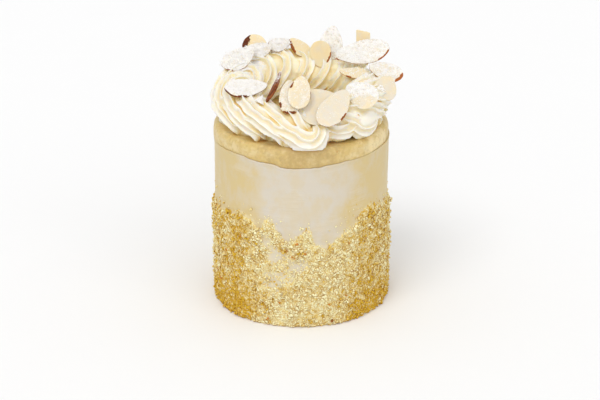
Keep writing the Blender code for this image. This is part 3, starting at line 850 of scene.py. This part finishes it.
def side_points(degrees, height, radius, coat_thickness):
    """Points on the iced side, with the waves of the icing and the marks of the spatula, and how thick the
    crumbs lie there."""
    turn = np.radians(degrees)
    grown = radius + 0.16 * MM * np.sin(3 * turn + 1) + 0.12 * MM * np.sin(5 * turn + height / (9 * MM))
    flat = side_place(degrees, height, radius)
    strokes = noise_at(flat * (1, 1, 8), 16 * MM, 1)
    cover = coat_cover(degrees, height)
    coat = coat_thickness * cover * (0.9 + 0.85 * coat_lumps(flat))
    return side_place(degrees, height, grown + SPATULA_MARKS * strokes * (1 - cover) + coat), cover


def joint_drop(degrees, radii):
    """How far the joint between the icing and the custard drops at the rim."""
    rim = np.clip((radii - 30 * MM) / (6 * MM), 0, 1)
    flat = side_place(degrees, 0, ICED_RADIUS)
    ragged = 0.22 * noise_at(flat, 2.5 * MM, 14) + 0.1 * noise_at(flat, 0.8 * MM, 15)
    return rim * (at_angle(JOINT, degrees) + ragged) * MM


def smooth_sides(mesh):
    """Smooth shading for all but the hidden faces that meet at the joint and at the floor."""
    mesh.shade_smooth()
    for face in mesh.polygons:
        if face.normal.z < -0.9 or (face.normal.z > 0.9 and face.center.z < ICED_TOP + MM):
            face.use_smooth = False


class CAKE_OT_iced_side(bpy.types.Operator):
    """Adds the iced cake, with the marks of the spatula and the relief under the crumbs"""

    bl_idname = "cake.iced_side"
    bl_label = "Iced side"

    def execute(self, context):
        icing, coat = context.scene.cake_icing, context.scene.cake_coat
        cake = add_cylinder(icing.radius, sides=384, low=0, high=ICED_TOP)
        select_edges(cake, lambda lower, upper: upper - lower > ICED_TOP / 2)
        bpy.ops.mesh.subdivide(number_cuts=150)
        select_where(cake, "FACE", lambda face: abs(face.normal.z) > 0.9)
        for thickness in (1.2 * MM, 3 * MM):
            bpy.ops.mesh.inset(thickness=thickness, use_individual=True)
        bpy.ops.object.mode_set(mode="OBJECT")
        points = points_of(cake.data)
        degrees, radii = round_cake(points)
        side = radii > icing.radius - 0.1 * MM
        raised, cover = side_points(degrees[side], points[side, 2], icing.radius, coat.thickness)
        lip = ICED_LIP * smoothstep(ICED_TOP - 1.4 * MM, ICED_TOP - 0.3 * MM, raised[:, 2])
        rounded = ICED_FOOT_ROUNDING * smoothstep(0.8 * MM, 0, raised[:, 2]) - lip
        raised[:, :2] *= (1 - rounded / icing.radius)[:, None]
        points[side] = raised
        points[:, 2] -= joint_drop(degrees, radii) * smoothstep(ICED_TOP - 8 * MM, ICED_TOP, points[:, 2])
        set_points(cake.data, points)
        coated = np.zeros(len(points))
        coated[side] = cover
        set_attribute(cake.data, "coat", coated)
        smooth_sides(cake.data)
        finish_piece(cake, "iced_side", icing_material(icing, coat), "icing", "iced_cake")
        return {"FINISHED"}


def crumb_chance(degrees, heights, radius):
    """How likely a crumb is at each place: in clumps, with a ragged edge and a few strays over it."""
    flat = side_place(degrees, heights, radius)
    clumps = noise_at(flat, 4 * MM, 5) + 0.5 * noise_at(flat, 1.8 * MM, 6)
    edge = 1.6 * MM * noise_at(flat, 3 * MM, 17) + 1.1 * MM * noise_at(flat, 1.4 * MM, 18)
    cover = np.clip(coat_cover(degrees, heights + edge) * (1.1 + 0.5 * clumps), 0, 1)
    stray = STRAY_CHANCE * (heights < coat_edge(degrees) + STRAY_REACH)
    return np.maximum(cover, stray)


def crumb_tone(degrees, heights, places, flat):
    """How pale the crumbs are, darker at the left and right and most of all low down there, paler on their
    heaps: partly the crumbs' own colour, partly painted shade at the sides and foot and painted light on the
    heaps.
    """
    facing = np.cos(np.radians(degrees))
    beside = np.abs(facing)
    outermost = smoothstep(0.74, 0.95, beside)
    # Partly painted shade: crumbs low down and at the left and right are darkened, partly their own colour
    low = smoothstep(22 * MM, 4 * MM, heights) * smoothstep(0.25, 0.65, beside)
    sides = smoothstep(0.4, 0.72, beside) * (1 - 0.4 * outermost)
    sides *= 1 - 0.25 * smoothstep(-0.5, 0.5, facing)
    tone = CRUMB_TONE + 0.25 * noise_at(places, 7 * MM, 8) + 0.35 * noise_at(places, 1.3 * MM, 7)
    # Partly painted light: paler crumbs on the heaps, more golden ones in the hollows
    tone += 0.7 * coat_lumps(flat)
    tone -= 0.5 * sides + 0.6 * low * (1 - 0.25 * outermost)
    return tone + 0.45 * (1 + 0.5 * sides) * noise_at(places, 2.3 * MM, 21)


def browned_crumbs(icing, coat):
    """The crumbs of browned crust, in the columns of the other crumbs."""
    degrees, heights, radii, crust = np.array(CRUST_CRUMBS).T
    places, _ = side_points(degrees, heights * MM, icing.radius, coat.thickness)
    places += side_place(degrees, 0, 0.6 * MM)
    return np.column_stack([places, radii * MM, np.full(len(radii), 0.3), crust, degrees, 0 * radii])


def lying_turn(angle, way):
    """A turn that lays a crumb against the side of the cake at an angle, with its length one way."""
    out = Vector((math.cos(angle), math.sin(angle), 0))
    beside = Vector((-math.sin(angle), math.cos(angle), 0))
    along = beside * math.cos(way) + Vector((0, 0, math.sin(way)))
    return Matrix((along, out.cross(along), out)).transposed()


class CAKE_OT_crumb_coat(bpy.types.Operator):
    """Adds the crumbs of the coat in four sizes, each as one mesh"""

    bl_idname = "cake.crumb_coat"
    bl_label = "Crumb coat"

    def execute(self, context):
        icing, coat = context.scene.cake_icing, context.scene.cake_coat
        finish = crumb_material(coat)
        for name, field, sizes, faces, seed in CRUMB_KINDS:
            count = int(getattr(coat, field) * CRUMB_SHARE)
            rng = random.Random(seed)
            shapes = lump_shapes(10, roughness=0.5, faces=min(faces, ICOSPHERE_FACES), seed=seed)
            if faces > ICOSPHERE_FACES:
                shapes = [clump_of(shapes, rng) for _ in shapes]
            crumbs = self.crumbs_of(count, sizes, rng, icing, coat)
            if name == "crumbs_medium":
                crumbs = np.vstack([crumbs, browned_crumbs(icing, coat)])
            self.add_kind(name, crumbs, shapes, rng, finish)
        return {"FINISHED"}

    def crumbs_of(self, count, sizes, rng, icing, coat):
        """A row for each crumb: its place, radius, tone and crust, its angle round the cake and its lie."""

        def tried():
            return rng.uniform(0, 360), rng.uniform(*CRUMB_HEIGHTS) * MM, rng.random()

        degrees, heights, luck = np.array([tried() for _ in range(CRUMB_TRIES * count)]).T
        chosen = luck < crumb_chance(degrees, heights, icing.radius)
        degrees, heights = degrees[chosen][:count], heights[chosen][:count]
        small, large = sizes
        radii = np.array([small + (large - small) * rng.random() ** 1.6 for _ in degrees]) * MM
        lift = np.array([rng.uniform(-0.3, 0.55) for _ in degrees]) * radii
        places, _ = side_points(degrees, heights, icing.radius, coat.thickness)
        places += side_place(degrees, 0, 1) * lift[:, None]
        places[:, 2] = np.maximum(places[:, 2], 1.15 * radii)
        flat = side_place(degrees, heights, icing.radius)
        tone = crumb_tone(degrees, heights, places, flat) + [rng.uniform(-0.2, 0.2) for _ in degrees]
        crust = [BROWNED * (rng.random() < BROWNED_CHANCE) for _ in degrees]
        lie = math.pi * noise_at(flat, 9 * MM, 16) + [rng.gauss(0, 0.7) for _ in degrees]
        return np.column_stack([places, radii, tone, crust, degrees, lie])

    def add_kind(self, name, crumbs, shapes, rng, finish):
        radii, tone, crust, degrees, lie = crumbs[:, 3:].T
        turns = [lying_turn(math.radians(angle), way) for angle, way in zip(degrees, lie)]
        item, owners = scatter(name, shapes, crumbs[:, :3], radii, rng, turns)
        points = points_of(item.data)
        points[:, 2] = np.maximum(points[:, 2], 0)
        set_points(item.data, points)
        set_attribute(item.data, "tone", np.clip(tone, 0, 1)[owners])
        set_attribute(item.data, "crust", crust[owners])
        finish_piece(item, name, finish, "icing")


# The custard


class CAKE_OT_custard(bpy.types.Operator):
    """Adds the layer of almond custard with its soft upper edge"""

    bl_idname = "cake.custard"
    bl_label = "Custard"

    def execute(self, context):
        custard = context.scene.cake_custard
        low = ICED_TOP + CUSTARD_LIFT
        layer = add_cylinder(CUSTARD_RADIUS, sides=256, low=low, high=CUSTARD_TOP)
        select_edges(layer, lambda lower, upper: lower > CUSTARD_TOP - 0.1 * MM)
        bpy.ops.mesh.bevel(offset=CUSTARD_ROUNDING, segments=9, affect="EDGES", profile=0.5)
        select_edges(layer, lambda lower, upper: upper - lower > 2 * MM)
        bpy.ops.mesh.subdivide(number_cuts=14)
        for _ in range(10):
            select_where(layer, "FACE", lambda face: abs(face.normal.z) > 0.99 and len(face.vertices) > 8)
            bpy.ops.mesh.inset(thickness=3 * MM)
        bpy.ops.object.mode_set(mode="OBJECT")
        points = points_of(layer.data)
        degrees, radii = round_cake(points)
        turn = np.radians(degrees)
        outer = smoothstep(30 * MM, 36 * MM, radii)
        uneven = 0.15 * np.sin(4 * turn) + 0.1 * np.sin(9 * turn + 2)
        uneven += 0.16 * noise_at(points, 5 * MM, 9) + 0.09 * noise_at(points, 1.6 * MM, 10)
        points[:, :2] *= (1 + outer * uneven * MM / np.maximum(radii, MM))[:, None]
        points[:, 2] += 0.12 * MM * noise_at(points, 4 * MM, 12) * (points[:, 2] > CUSTARD_TOP - MM)
        points[:, 2] -= joint_drop(degrees, radii) * smoothstep(low + 5 * MM, low, points[:, 2])
        set_points(layer.data, points)
        # Partly painted shadow: the custard is made browner at the front, under the overhanging cream
        set_attribute(layer.data, "brown_and_shadow", outer * at_angle(CUSTARD_TONE, degrees))
        smooth_sides(layer.data)
        finish_piece(layer, "custard_layer", custard_material(custard), "custard", "custard_top")
        return {"FINISHED"}


# The piped ring


def add_curve(name, dimensions, points):
    """A curve through the points, each with the rope's width there as its last value."""
    curve = bpy.data.curves.new(name, "CURVE")
    curve.dimensions = dimensions
    spline = curve.splines.new("POLY")
    spline.points.add(len(points) - 1)
    for point, (x, y, z, width) in zip(spline.points, points):
        point.co = (x, y, z, 1)
        point.radius = width
    return add_to_scene(name, curve)


def rope_section(name, groove, sides=64):
    """The outline of a rope of cream: a star, or round where there is no groove."""
    points = []
    for i in range(sides):
        turn = math.tau * i / sides
        radius = ROPE_RADIUS * (1 - groove * abs(math.sin(ROPE_TEETH * turn / 2)) ** 0.75)
        points.append((radius * math.cos(turn), radius * math.sin(turn), 0, 1))
    item = add_curve(name, "2D", points)
    item.data.splines[0].use_cyclic_u = True
    return item


def rope(name, points, section):
    """A mesh of cream along the points."""
    item = add_curve(name, "3D", points)
    item.data.bevel_mode = "OBJECT"
    item.data.bevel_object = section
    item.data.use_fill_caps = True
    item.data.twist_mode = "MINIMUM"
    make_active(item)
    bpy.ops.object.convert(target="MESH")
    return item


def on_ring(angle, outwards, height):
    radius = RING_RADIUS + outwards
    return (radius * math.cos(angle), radius * math.sin(angle), height)


def rear_rise(degrees):
    """How much taller the loops stand at the back left."""
    away = angle_between(degrees, REAR_RISE_ANGLE) / REAR_RISE_SPREAD
    return REAR_RISE * math.exp(-away * away)


def loops_path():
    """The middle of the rope in its leaning loops: it comes down the outside of the ring as it goes
    forward, turns at the foot, and climbs the inside as it goes back."""
    steps = LOOP_POINTS * (LOOP_COUNT - 1)
    points = []
    for i in range(steps + 1):
        loop = -0.55 + (LOOP_COUNT - 0.15) * i / steps
        phase = math.pi / 2 - LOOP_LEAN + math.tau * loop
        middle = math.radians(LOOP_FIRST + LOOP_STEP * loop) - LOOP_ALONG / RING_RADIUS
        angle = middle + LOOP_ALONG * math.sin(phase + LOOP_LEAN) / RING_RADIUS
        uneven = 1 + 0.06 * math.sin(2.3 * loop + 1)
        front = angle_between(math.degrees(angle), FRONT_BULGE_ANGLE) / FRONT_BULGE_SPREAD
        bulge = LOOP_FRONT_BULGE * math.exp(-front * front)
        out = LOOP_OUT * uneven * math.cos(phase) + bulge
        height = LOOP_CENTRE_HEIGHT - LOOP_UP * math.sin(phase)
        height += rear_rise(math.degrees(angle)) * 0.5 * (1 - math.sin(phase))
        width = min(1, 0.3 + i / 16, 0.3 + (steps - i) / 16)
        points.append((*on_ring(angle, out, height), width))
    return points


def core_path(steps=80):
    """A fatter rope through the middle of the loops, which closes their eyes."""
    first, last = CORE_ARC
    points = []
    for i in range(steps + 1):
        degrees = first + (last - first) * i / steps
        height = CUSTARD_TOP + CORE_HEIGHT + 0.7 * rear_rise(degrees)
        width = CORE_WIDTH * min(1, 0.5 + 0.1 * min(i, steps - i))
        points.append((*on_ring(math.radians(degrees), 0, height), width))
    return points


def smooth_through(knots, steps):
    """Points on a Catmull-Rom curve through the knots."""
    padded = [np.array(knot, float) for knot in (knots[0], *knots, knots[-1])]
    points = []
    for a, b, c, d in zip(padded, padded[1:], padded[2:], padded[3:]):
        for i in range(steps):
            t = i / steps
            bend = 2 * a - 5 * b + 4 * c - d
            points.append(0.5 * (2 * b + (c - a) * t + bend * t**2 + (3 * b - a - 3 * c + d) * t**3))
    points.append(padded[-1])
    return points


def pass_path(degrees, knots):
    """One pass of the rope across the ring, about the angle of its foot."""
    points = []
    for along, out, height, width in smooth_through(knots, steps=12):
        angle = math.radians(degrees) + along * MM / PASS_RADIUS
        points.append((*on_ring(angle, out * MM, CUSTARD_TOP + height * MM), width))
    return points


def ledge_path():
    points = []
    for degrees, distance, height, width in smooth_through(LEDGE_PASS, steps=8):
        place = on_ring(math.radians(degrees), distance * MM - RING_RADIUS, CUSTARD_TOP + height * MM)
        points.append((*place, width))
    return points


def sugar_amount(points, normals):
    """How thick the sugar lies at each point: only on what faces up, in soft patches."""
    amount = np.zeros(len(points))
    for angle, distance, spread, thick in SUGAR_SPOTS:
        turn = math.radians(angle)
        middle = np.array((math.cos(turn), math.sin(turn))) * distance * MM
        away = ((points[:, :2] - middle) ** 2).sum(axis=1) / (spread * MM) ** 2
        amount = np.maximum(amount, thick * np.exp(-(away**1.4)))
    patchy = 0.75 + 0.5 * noise_at(points, 3 * MM, 20)
    return amount * patchy * np.clip(normals[:, 2] * 1.5 + 0.15, 0, 1)


class CAKE_OT_piped_ring(bpy.types.Operator):
    """Adds the ring of cream, piped in leaning loops and fused into one body"""

    bl_idname = "cake.piped_ring"
    bl_label = "Piped ring"

    def execute(self, context):
        cream, sugar = context.scene.cake_cream, context.scene.cake_sugar
        ring = self.fused(cream.voxel * (1))
        self.roughen(ring)
        points, normals = points_of(ring.data), normals_of(ring.data)
        powder = sugar_amount(points, normals)
        ripple = 0.05 * noise_at(points, 1.2 * MM, 21) + 0.07 * noise_at(points, 3 * MM, 22)
        ripple += 0.2 * np.minimum(powder, 0.8) * noise_at(points, 0.8 * MM, 26)
        set_points(ring.data, points + normals * (ripple * MM)[:, None])
        set_attribute(ring.data, "sugar", powder)
        # Painted light: marks the side that faces the hollow, towards the back, to be painted paler and
        # warmer
        inwards = -(points[:, :2] * normals[:, :2]).sum(axis=1) / np.hypot(points[:, 0], points[:, 1])
        behind = smoothstep(-20 * MM, 5 * MM, points[:, 1])
        set_attribute(ring.data, "inner", smoothstep(-0.5, 0.4, inwards) * behind)
        set_attribute(ring.data, "relief", relief_of(ring.data, rounds=30))
        ring.data.shade_smooth()
        finish_piece(ring, "cream_ring", cream_material(cream, sugar), "cream", "piped_ring")
        return {"FINISHED"}

    def fused(self, voxel):
        """All the ropes in one skin, pressed down onto the custard and cut off just under its top."""
        star, plain = rope_section("star_section", ROPE_GROOVE), rope_section("round_section", 0)
        ropes = [rope("loops", loops_path(), star), rope("core", core_path(), plain)]
        ropes.append(rope("ledge", ledge_path(), plain))
        ropes += [rope("pass", pass_path(*made), star) for made in FRONT_PASSES]
        ropes += [rope("round_pass", pass_path(*made), plain) for made in ROUND_PASSES]
        deselect_all()
        for item in ropes:
            item.select_set(True)
        bpy.context.view_layer.objects.active = ropes[0]
        bpy.ops.object.join()
        ring = bpy.context.object
        bpy.data.objects.remove(star)
        bpy.data.objects.remove(plain)
        edit_all(ring, bpy.ops.mesh.remove_doubles, threshold=0.001 * MM)
        apply_modifier(ring, "REMESH", mode="VOXEL", voxel_size=voxel)
        apply_modifier(ring, "SMOOTH", factor=0.5, iterations=2)
        points = points_of(ring.data)
        points[:, 2] -= RING_PRESS * (1 - smoothstep(0, 4 * MM, points[:, 2] - CUSTARD_TOP))
        set_points(ring.data, points)
        cut = {"plane_co": (0, 0, CUSTARD_TOP - 0.2 * MM), "plane_no": (0, 0, 1)}
        edit_all(ring, bpy.ops.mesh.bisect, **cut, use_fill=True, clear_inner=True)
        triangles = sum(len(face.vertices) - 2 for face in ring.data.polygons)
        if triangles > RING_TRIANGLES:
            apply_modifier(ring, "DECIMATE", ratio=RING_TRIANGLES / triangles)
        return ring

    def roughen(self, ring):
        """Pushes the ridges out of their even line, but for the foot of the ring."""
        points = points_of(ring.data)
        warp = np.stack([noise_at(points, 4.5 * MM, seed) for seed in (23, 24, 25)], -1)
        held = smoothstep(CUSTARD_TOP, CUSTARD_TOP + MM, points[:, 2])
        set_points(ring.data, points + RING_WARP * warp * held[:, None])


# The sliced almonds


def slice_place(node):
    """Where a slice of the packed model lies: its matrix, with X along it towards its point and Z up
    through its thickness, and the extent of its plane."""
    points = points_of(frame["nodes"][node].data)
    points = np.unique(np.round(points, 7), axis=0)
    middle = points.mean(axis=0)
    _, axes = np.linalg.eigh(np.cov((points - middle).T))
    along, across, up = axes[:, 2], axes[:, 1], axes[:, 0]
    if up[2] < 0:
        up = -up
    x, y = (points - middle) @ along, (points - middle) @ across
    long = 0.5 * (x.max() - x.min())
    outer = np.abs(x - 0.5 * (x.max() + x.min())) > 0.35 * long
    front = outer & (x > 0)
    if np.abs(y[front]).mean() > np.abs(y[outer & (x < 0)]).mean():
        along = -along
    across = np.cross(up, along)
    x, y, z = ((points - middle) @ axis for axis in (along, across, up))
    centre = middle + sum(axis * 0.5 * (v.max() + v.min()) for axis, v in ((along, x), (across, y), (up, z)))
    matrix = Matrix.Translation(Vector(centre)) @ Matrix(np.column_stack([along, across, up])).to_4x4()
    return matrix, x.max() - x.min(), y.max() - y.min()


def slice_outline(node, turn, rough):
    """How far the rim stands from the middle: about 1, or in straight edges for a broken piece."""
    if node not in CHIP_CORNERS:
        return 1 + 0.025 * rough
    corners, first = CHIP_CORNERS[node]
    half_side = math.pi / corners
    from_middle = np.mod(turn - math.radians(first), 2 * half_side) - half_side
    return 0.1 + 0.9 * math.cos(half_side) / np.cos(from_middle) + 0.03 * rough


def skin_on(arcs, turn, reach):
    """1 on the arcs of skin along the rim, 0 on the flesh."""
    skin = np.zeros(len(turn))
    for first, last, wide in arcs:
        share = np.clip(np.mod(np.degrees(turn) - first, 360) / (last - first), 0, 1)
        tapered = wide if wide > 1 else wide * (4 * share * (1 - share)) ** 0.4
        skin = np.maximum(skin, smoothstep(1 - 1.3 * tapered, 1 - 0.7 * tapered, reach + 0.001))
    return skin


class CAKE_OT_sliced_almonds(bpy.types.Operator):
    """Adds the sliced almonds, each where the packed model has its slice"""

    bl_idname = "cake.sliced_almonds"
    bl_label = "Sliced almonds"

    def execute(self, context):
        almonds = context.scene.cake_almonds
        finish = almond_material(almonds, context.scene.cake_sugar)
        for number, (node, look) in enumerate(SLICE_LOOKS.items()):
            self.add_slice(node, look, number, almonds, finish)
        return {"FINISHED"}

    def add_slice(self, node, look, number, almonds, finish):
        tan, sugar, light_skin, arcs = look
        matrix, length, width = slice_place(node)
        deselect_all()
        bpy.ops.mesh.primitive_uv_sphere_add(segments=56, ring_count=24, radius=1)
        item = bpy.context.object
        ball = points_of(item.data)
        rise = ball[:, 2]
        turn = np.arctan2(ball[:, 1], ball[:, 0])
        reach = np.hypot(ball[:, 0], ball[:, 1])
        rough = noise_at(np.stack([np.cos(turn), np.sin(turn), 0 * turn + 3 * number], -1), 0.35, 30)
        outline = reach * slice_outline(node, turn, rough)
        x, y = (2 * (v - v.min()) / np.ptp(v) - 1 for v in (outline * np.cos(turn), outline * np.sin(turn)))
        y = y * (1 - 0.2 * x - 0.08 * x * x)
        bow = SLICE_BOW * (x * x - 0.4) - SLICE_CURL * y * y
        height = 0.5 * almonds.thickness * np.sign(rise) * np.abs(rise) ** 0.3
        ripples = noise_at(np.stack([x, y, 0 * x + 5 * number], -1), 0.5, 31)
        flat = np.stack([x * length / 2, y * width / 2, bow + height + SLICE_RIPPLES * ripples], -1)
        turned = np.array(matrix.to_3x3())
        set_points(item.data, flat @ turned.T + np.array(matrix.to_translation()))
        skin = skin_on(arcs, turn, reach)
        facing = np.where(rise > 0, 1.0, -1.0) * turned[2, 2]
        powder = sugar * np.clip(facing * 1.6 + 0.1, 0, 1) * (0.8 + 0.3 * ripples) - skin
        if node in SUGAR_BY_HEIGHT:
            foot, top = SUGAR_BY_HEIGHT[node]
            rising = points_of(item.data)[:, 2]
            rising = (rising - rising.min()) / np.ptp(rising)
            powder = foot + (top - foot) * smoothstep(0.3, 0.7, rising + 0.15 * ripples)
        for name, values in (("skin", skin), ("tan", tan), ("light_skin", light_skin), ("sugar", powder)):
            set_attribute(item.data, name, values)
        item.data.shade_smooth()
        finish_piece(item, node.replace("almond", "slice"), finish, "almond", node)


# Powdered sugar


def powdered_surfaces():
    """The cream and the slices, each as a tree for rays and the powder on each of its faces."""
    surfaces = []
    for item in bpy.data.objects:
        if item.name == "cream_ring" or item.name.startswith("slice_"):
            faces = [tuple(face.vertices) for face in item.data.polygons]
            powder = np.empty(len(item.data.vertices))
            item.data.attributes["sugar"].data.foreach_get("value", powder)
            amounts = [min(powder[corner] for corner in face) for face in faces]
            surfaces.append((BVHTree.FromPolygons([v.co for v in item.data.vertices], faces), amounts))
    return surfaces


def landing(surfaces, x, y):
    """What a grain that falls there lands on: how deep it falls, the place, its normal and its powder."""
    start = Vector((x, y, ABOVE_ALL))
    hits = [(tree.ray_cast(start, Vector((0, 0, -1))), amounts) for tree, amounts in surfaces]
    hits = [(hit[3], hit[0], hit[1], amounts[hit[2]]) for hit, amounts in hits if hit[0] is not None]
    return min(hits, key=lambda hit: hit[0]) if hits else None


class CAKE_OT_sugar(bpy.types.Operator):
    """Adds lumps of powdered sugar where they settle on the cream and the almonds"""

    bl_idname = "cake.sugar"
    bl_label = "Powdered sugar"

    def execute(self, context):
        sugar = context.scene.cake_sugar
        rng = random.Random(SUGAR_SEED)
        surfaces = powdered_surfaces()
        grains = self.settled(surfaces, int(sugar.grains * CRUMB_SHARE), rng)
        grains += self.heaped(surfaces, rng)
        grains += self.burying(int(BURYING_GRAINS * CRUMB_SHARE), rng)
        places, radii = zip(*grains)
        shapes = lump_shapes(6, roughness=0.3, faces=ICOSPHERE_FACES, seed=SUGAR_SEED + 1)
        item, _ = scatter("sugar_grains", shapes, places, radii, rng)
        item.data.shade_smooth()
        finish_piece(item, "sugar_grains", sugar_material(sugar), "cream")
        return {"FINISHED"}

    def settled(self, surfaces, wanted, rng):
        """The grains that fall all round and stay where the powder is thick."""
        grains = []
        for _ in range(wanted * GRAIN_TRIES):
            if len(grains) >= wanted:
                break
            angle, distance = rng.uniform(0, math.tau), rng.uniform(*GRAINS_FALL) * MM
            hit = landing(surfaces, distance * math.cos(angle), distance * math.sin(angle))
            if hit is None:
                continue
            _, place, normal, amount = hit
            if amount > 0 and rng.random() < amount * amount * abs(normal.z):
                grains.append((place + Vector((0, 0, 0.04 * MM)), rng.uniform(*GRAIN_RADII) * MM))
        return grains

    def heaped(self, surfaces, rng):
        """The larger lumps in their heaps."""
        grains = []
        for angle, distance, spread, count in SUGAR_HEAPS:
            middle = math.radians(angle)
            for _ in range(count):
                x = distance * MM * math.cos(middle) + rng.gauss(0, spread / 2) * MM
                y = distance * MM * math.sin(middle) + rng.gauss(0, spread / 2) * MM
                hit = landing(surfaces, x, y)
                if hit is not None:
                    place = hit[1] + Vector((0, 0, rng.uniform(0, 0.4) * MM))
                    grains.append((place, rng.uniform(*LUMP_RADII) * MM))
        return grains

    def burying(self, count, rng):
        """The grains that hide the rims of the slices on the left."""
        grains = []
        for name in BURIED_SLICES:
            rim = points_of(bpy.data.objects[name].data)
            for _ in range(count):
                place = Vector(rim[rng.randrange(len(rim))])
                place += Vector([rng.gauss(0, 0.45) * MM for _ in range(3)])
                grains.append((place, rng.uniform(*GRAIN_RADII) * MM))
        return grains


# The stage


class CAKE_OT_stage(bpy.types.Operator):
    """Adds the pale floor, the soft lights and the camera"""

    bl_idname = "cake.stage"
    bl_label = "Stage"

    def execute(self, context):
        stage = context.scene.cake_stage
        deselect_all()
        bpy.ops.mesh.primitive_plane_add(size=6)
        floor = context.object
        floor.name = "floor"
        floor.data.materials.append(floor_material(stage))
        floor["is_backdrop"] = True
        for name, turn, rise, spread, power in LIGHTS:
            deselect_all()
            bpy.ops.object.light_add(type="SUN", location=(0, 0, 0.5))
            light = context.object
            light.name = name
            light.data.energy = power
            light.data.angle = math.radians(spread)
            rise = math.radians(rise)
            towards = Vector(side_place(turn, math.sin(rise), math.cos(rise)))
            light.rotation_euler = towards.to_track_quat("Z", "Y").to_euler()
        world = bpy.data.worlds.new("studio")
        world.use_nodes = True
        background = world.node_tree.nodes["Background"]
        background.inputs["Color"].default_value = (1, 1, 1, 1)
        background.inputs["Strength"].default_value = WORLD_LIGHT
        context.scene.world = world
        context.scene.view_settings.view_transform = "Standard"
        deselect_all()
        bpy.ops.object.camera_add(
            location=(stage.shift, -stage.distance, stage.height), rotation=(math.pi / 2 - stage.pitch, 0, 0)
        )
        camera = context.object
        camera.data.lens = stage.lens
        camera.data.sensor_width = 36
        camera.data.clip_start = 0.01
        context.scene.camera = camera
        return {"FINISHED"}


STEPS = (
    CAKE_OT_iced_side,
    CAKE_OT_crumb_coat,
    CAKE_OT_custard,
    CAKE_OT_piped_ring,
    CAKE_OT_sliced_almonds,
    CAKE_OT_sugar,
    CAKE_OT_stage,
)


class CAKE_PT_parts(bpy.types.Panel):
    """Lists the parts of the cake and their settings"""

    bl_idname = "CAKE_PT_parts"
    bl_label = "Mini almond cake"
    bl_space_type = "VIEW_3D"
    bl_region_type = "UI"
    bl_category = "Almond cake"

    def draw(self, context):
        for step in STEPS:
            self.layout.operator(step.bl_idname)
        for name, group in SETTINGS.items():
            box = self.layout.box()
            box.label(text=group.__doc__)
            for field in group.__annotations__:
                box.prop(getattr(context.scene, name), field)


def register():
    for name, group in SETTINGS.items():
        bpy.utils.register_class(group)
        setattr(bpy.types.Scene, name, bpy.props.PointerProperty(type=group))
    for step in (*STEPS, CAKE_PT_parts):
        bpy.utils.register_class(step)


def unregister():
    for step in (*reversed(STEPS), CAKE_PT_parts):
        bpy.utils.unregister_class(step)
    for name, group in SETTINGS.items():
        delattr(bpy.types.Scene, name)
        bpy.utils.unregister_class(group)


def main():
    register()
    for step in STEPS:
        family, name = step.bl_idname.split(".")
        getattr(getattr(bpy.ops, family), name)()
    sizes = {"cad": CAD_BOX, "visual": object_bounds()}
    sizes = {name: [[float(value) for value in corner] for corner in box] for name, box in sizes.items()}


if __name__ == "__main__":
    main()
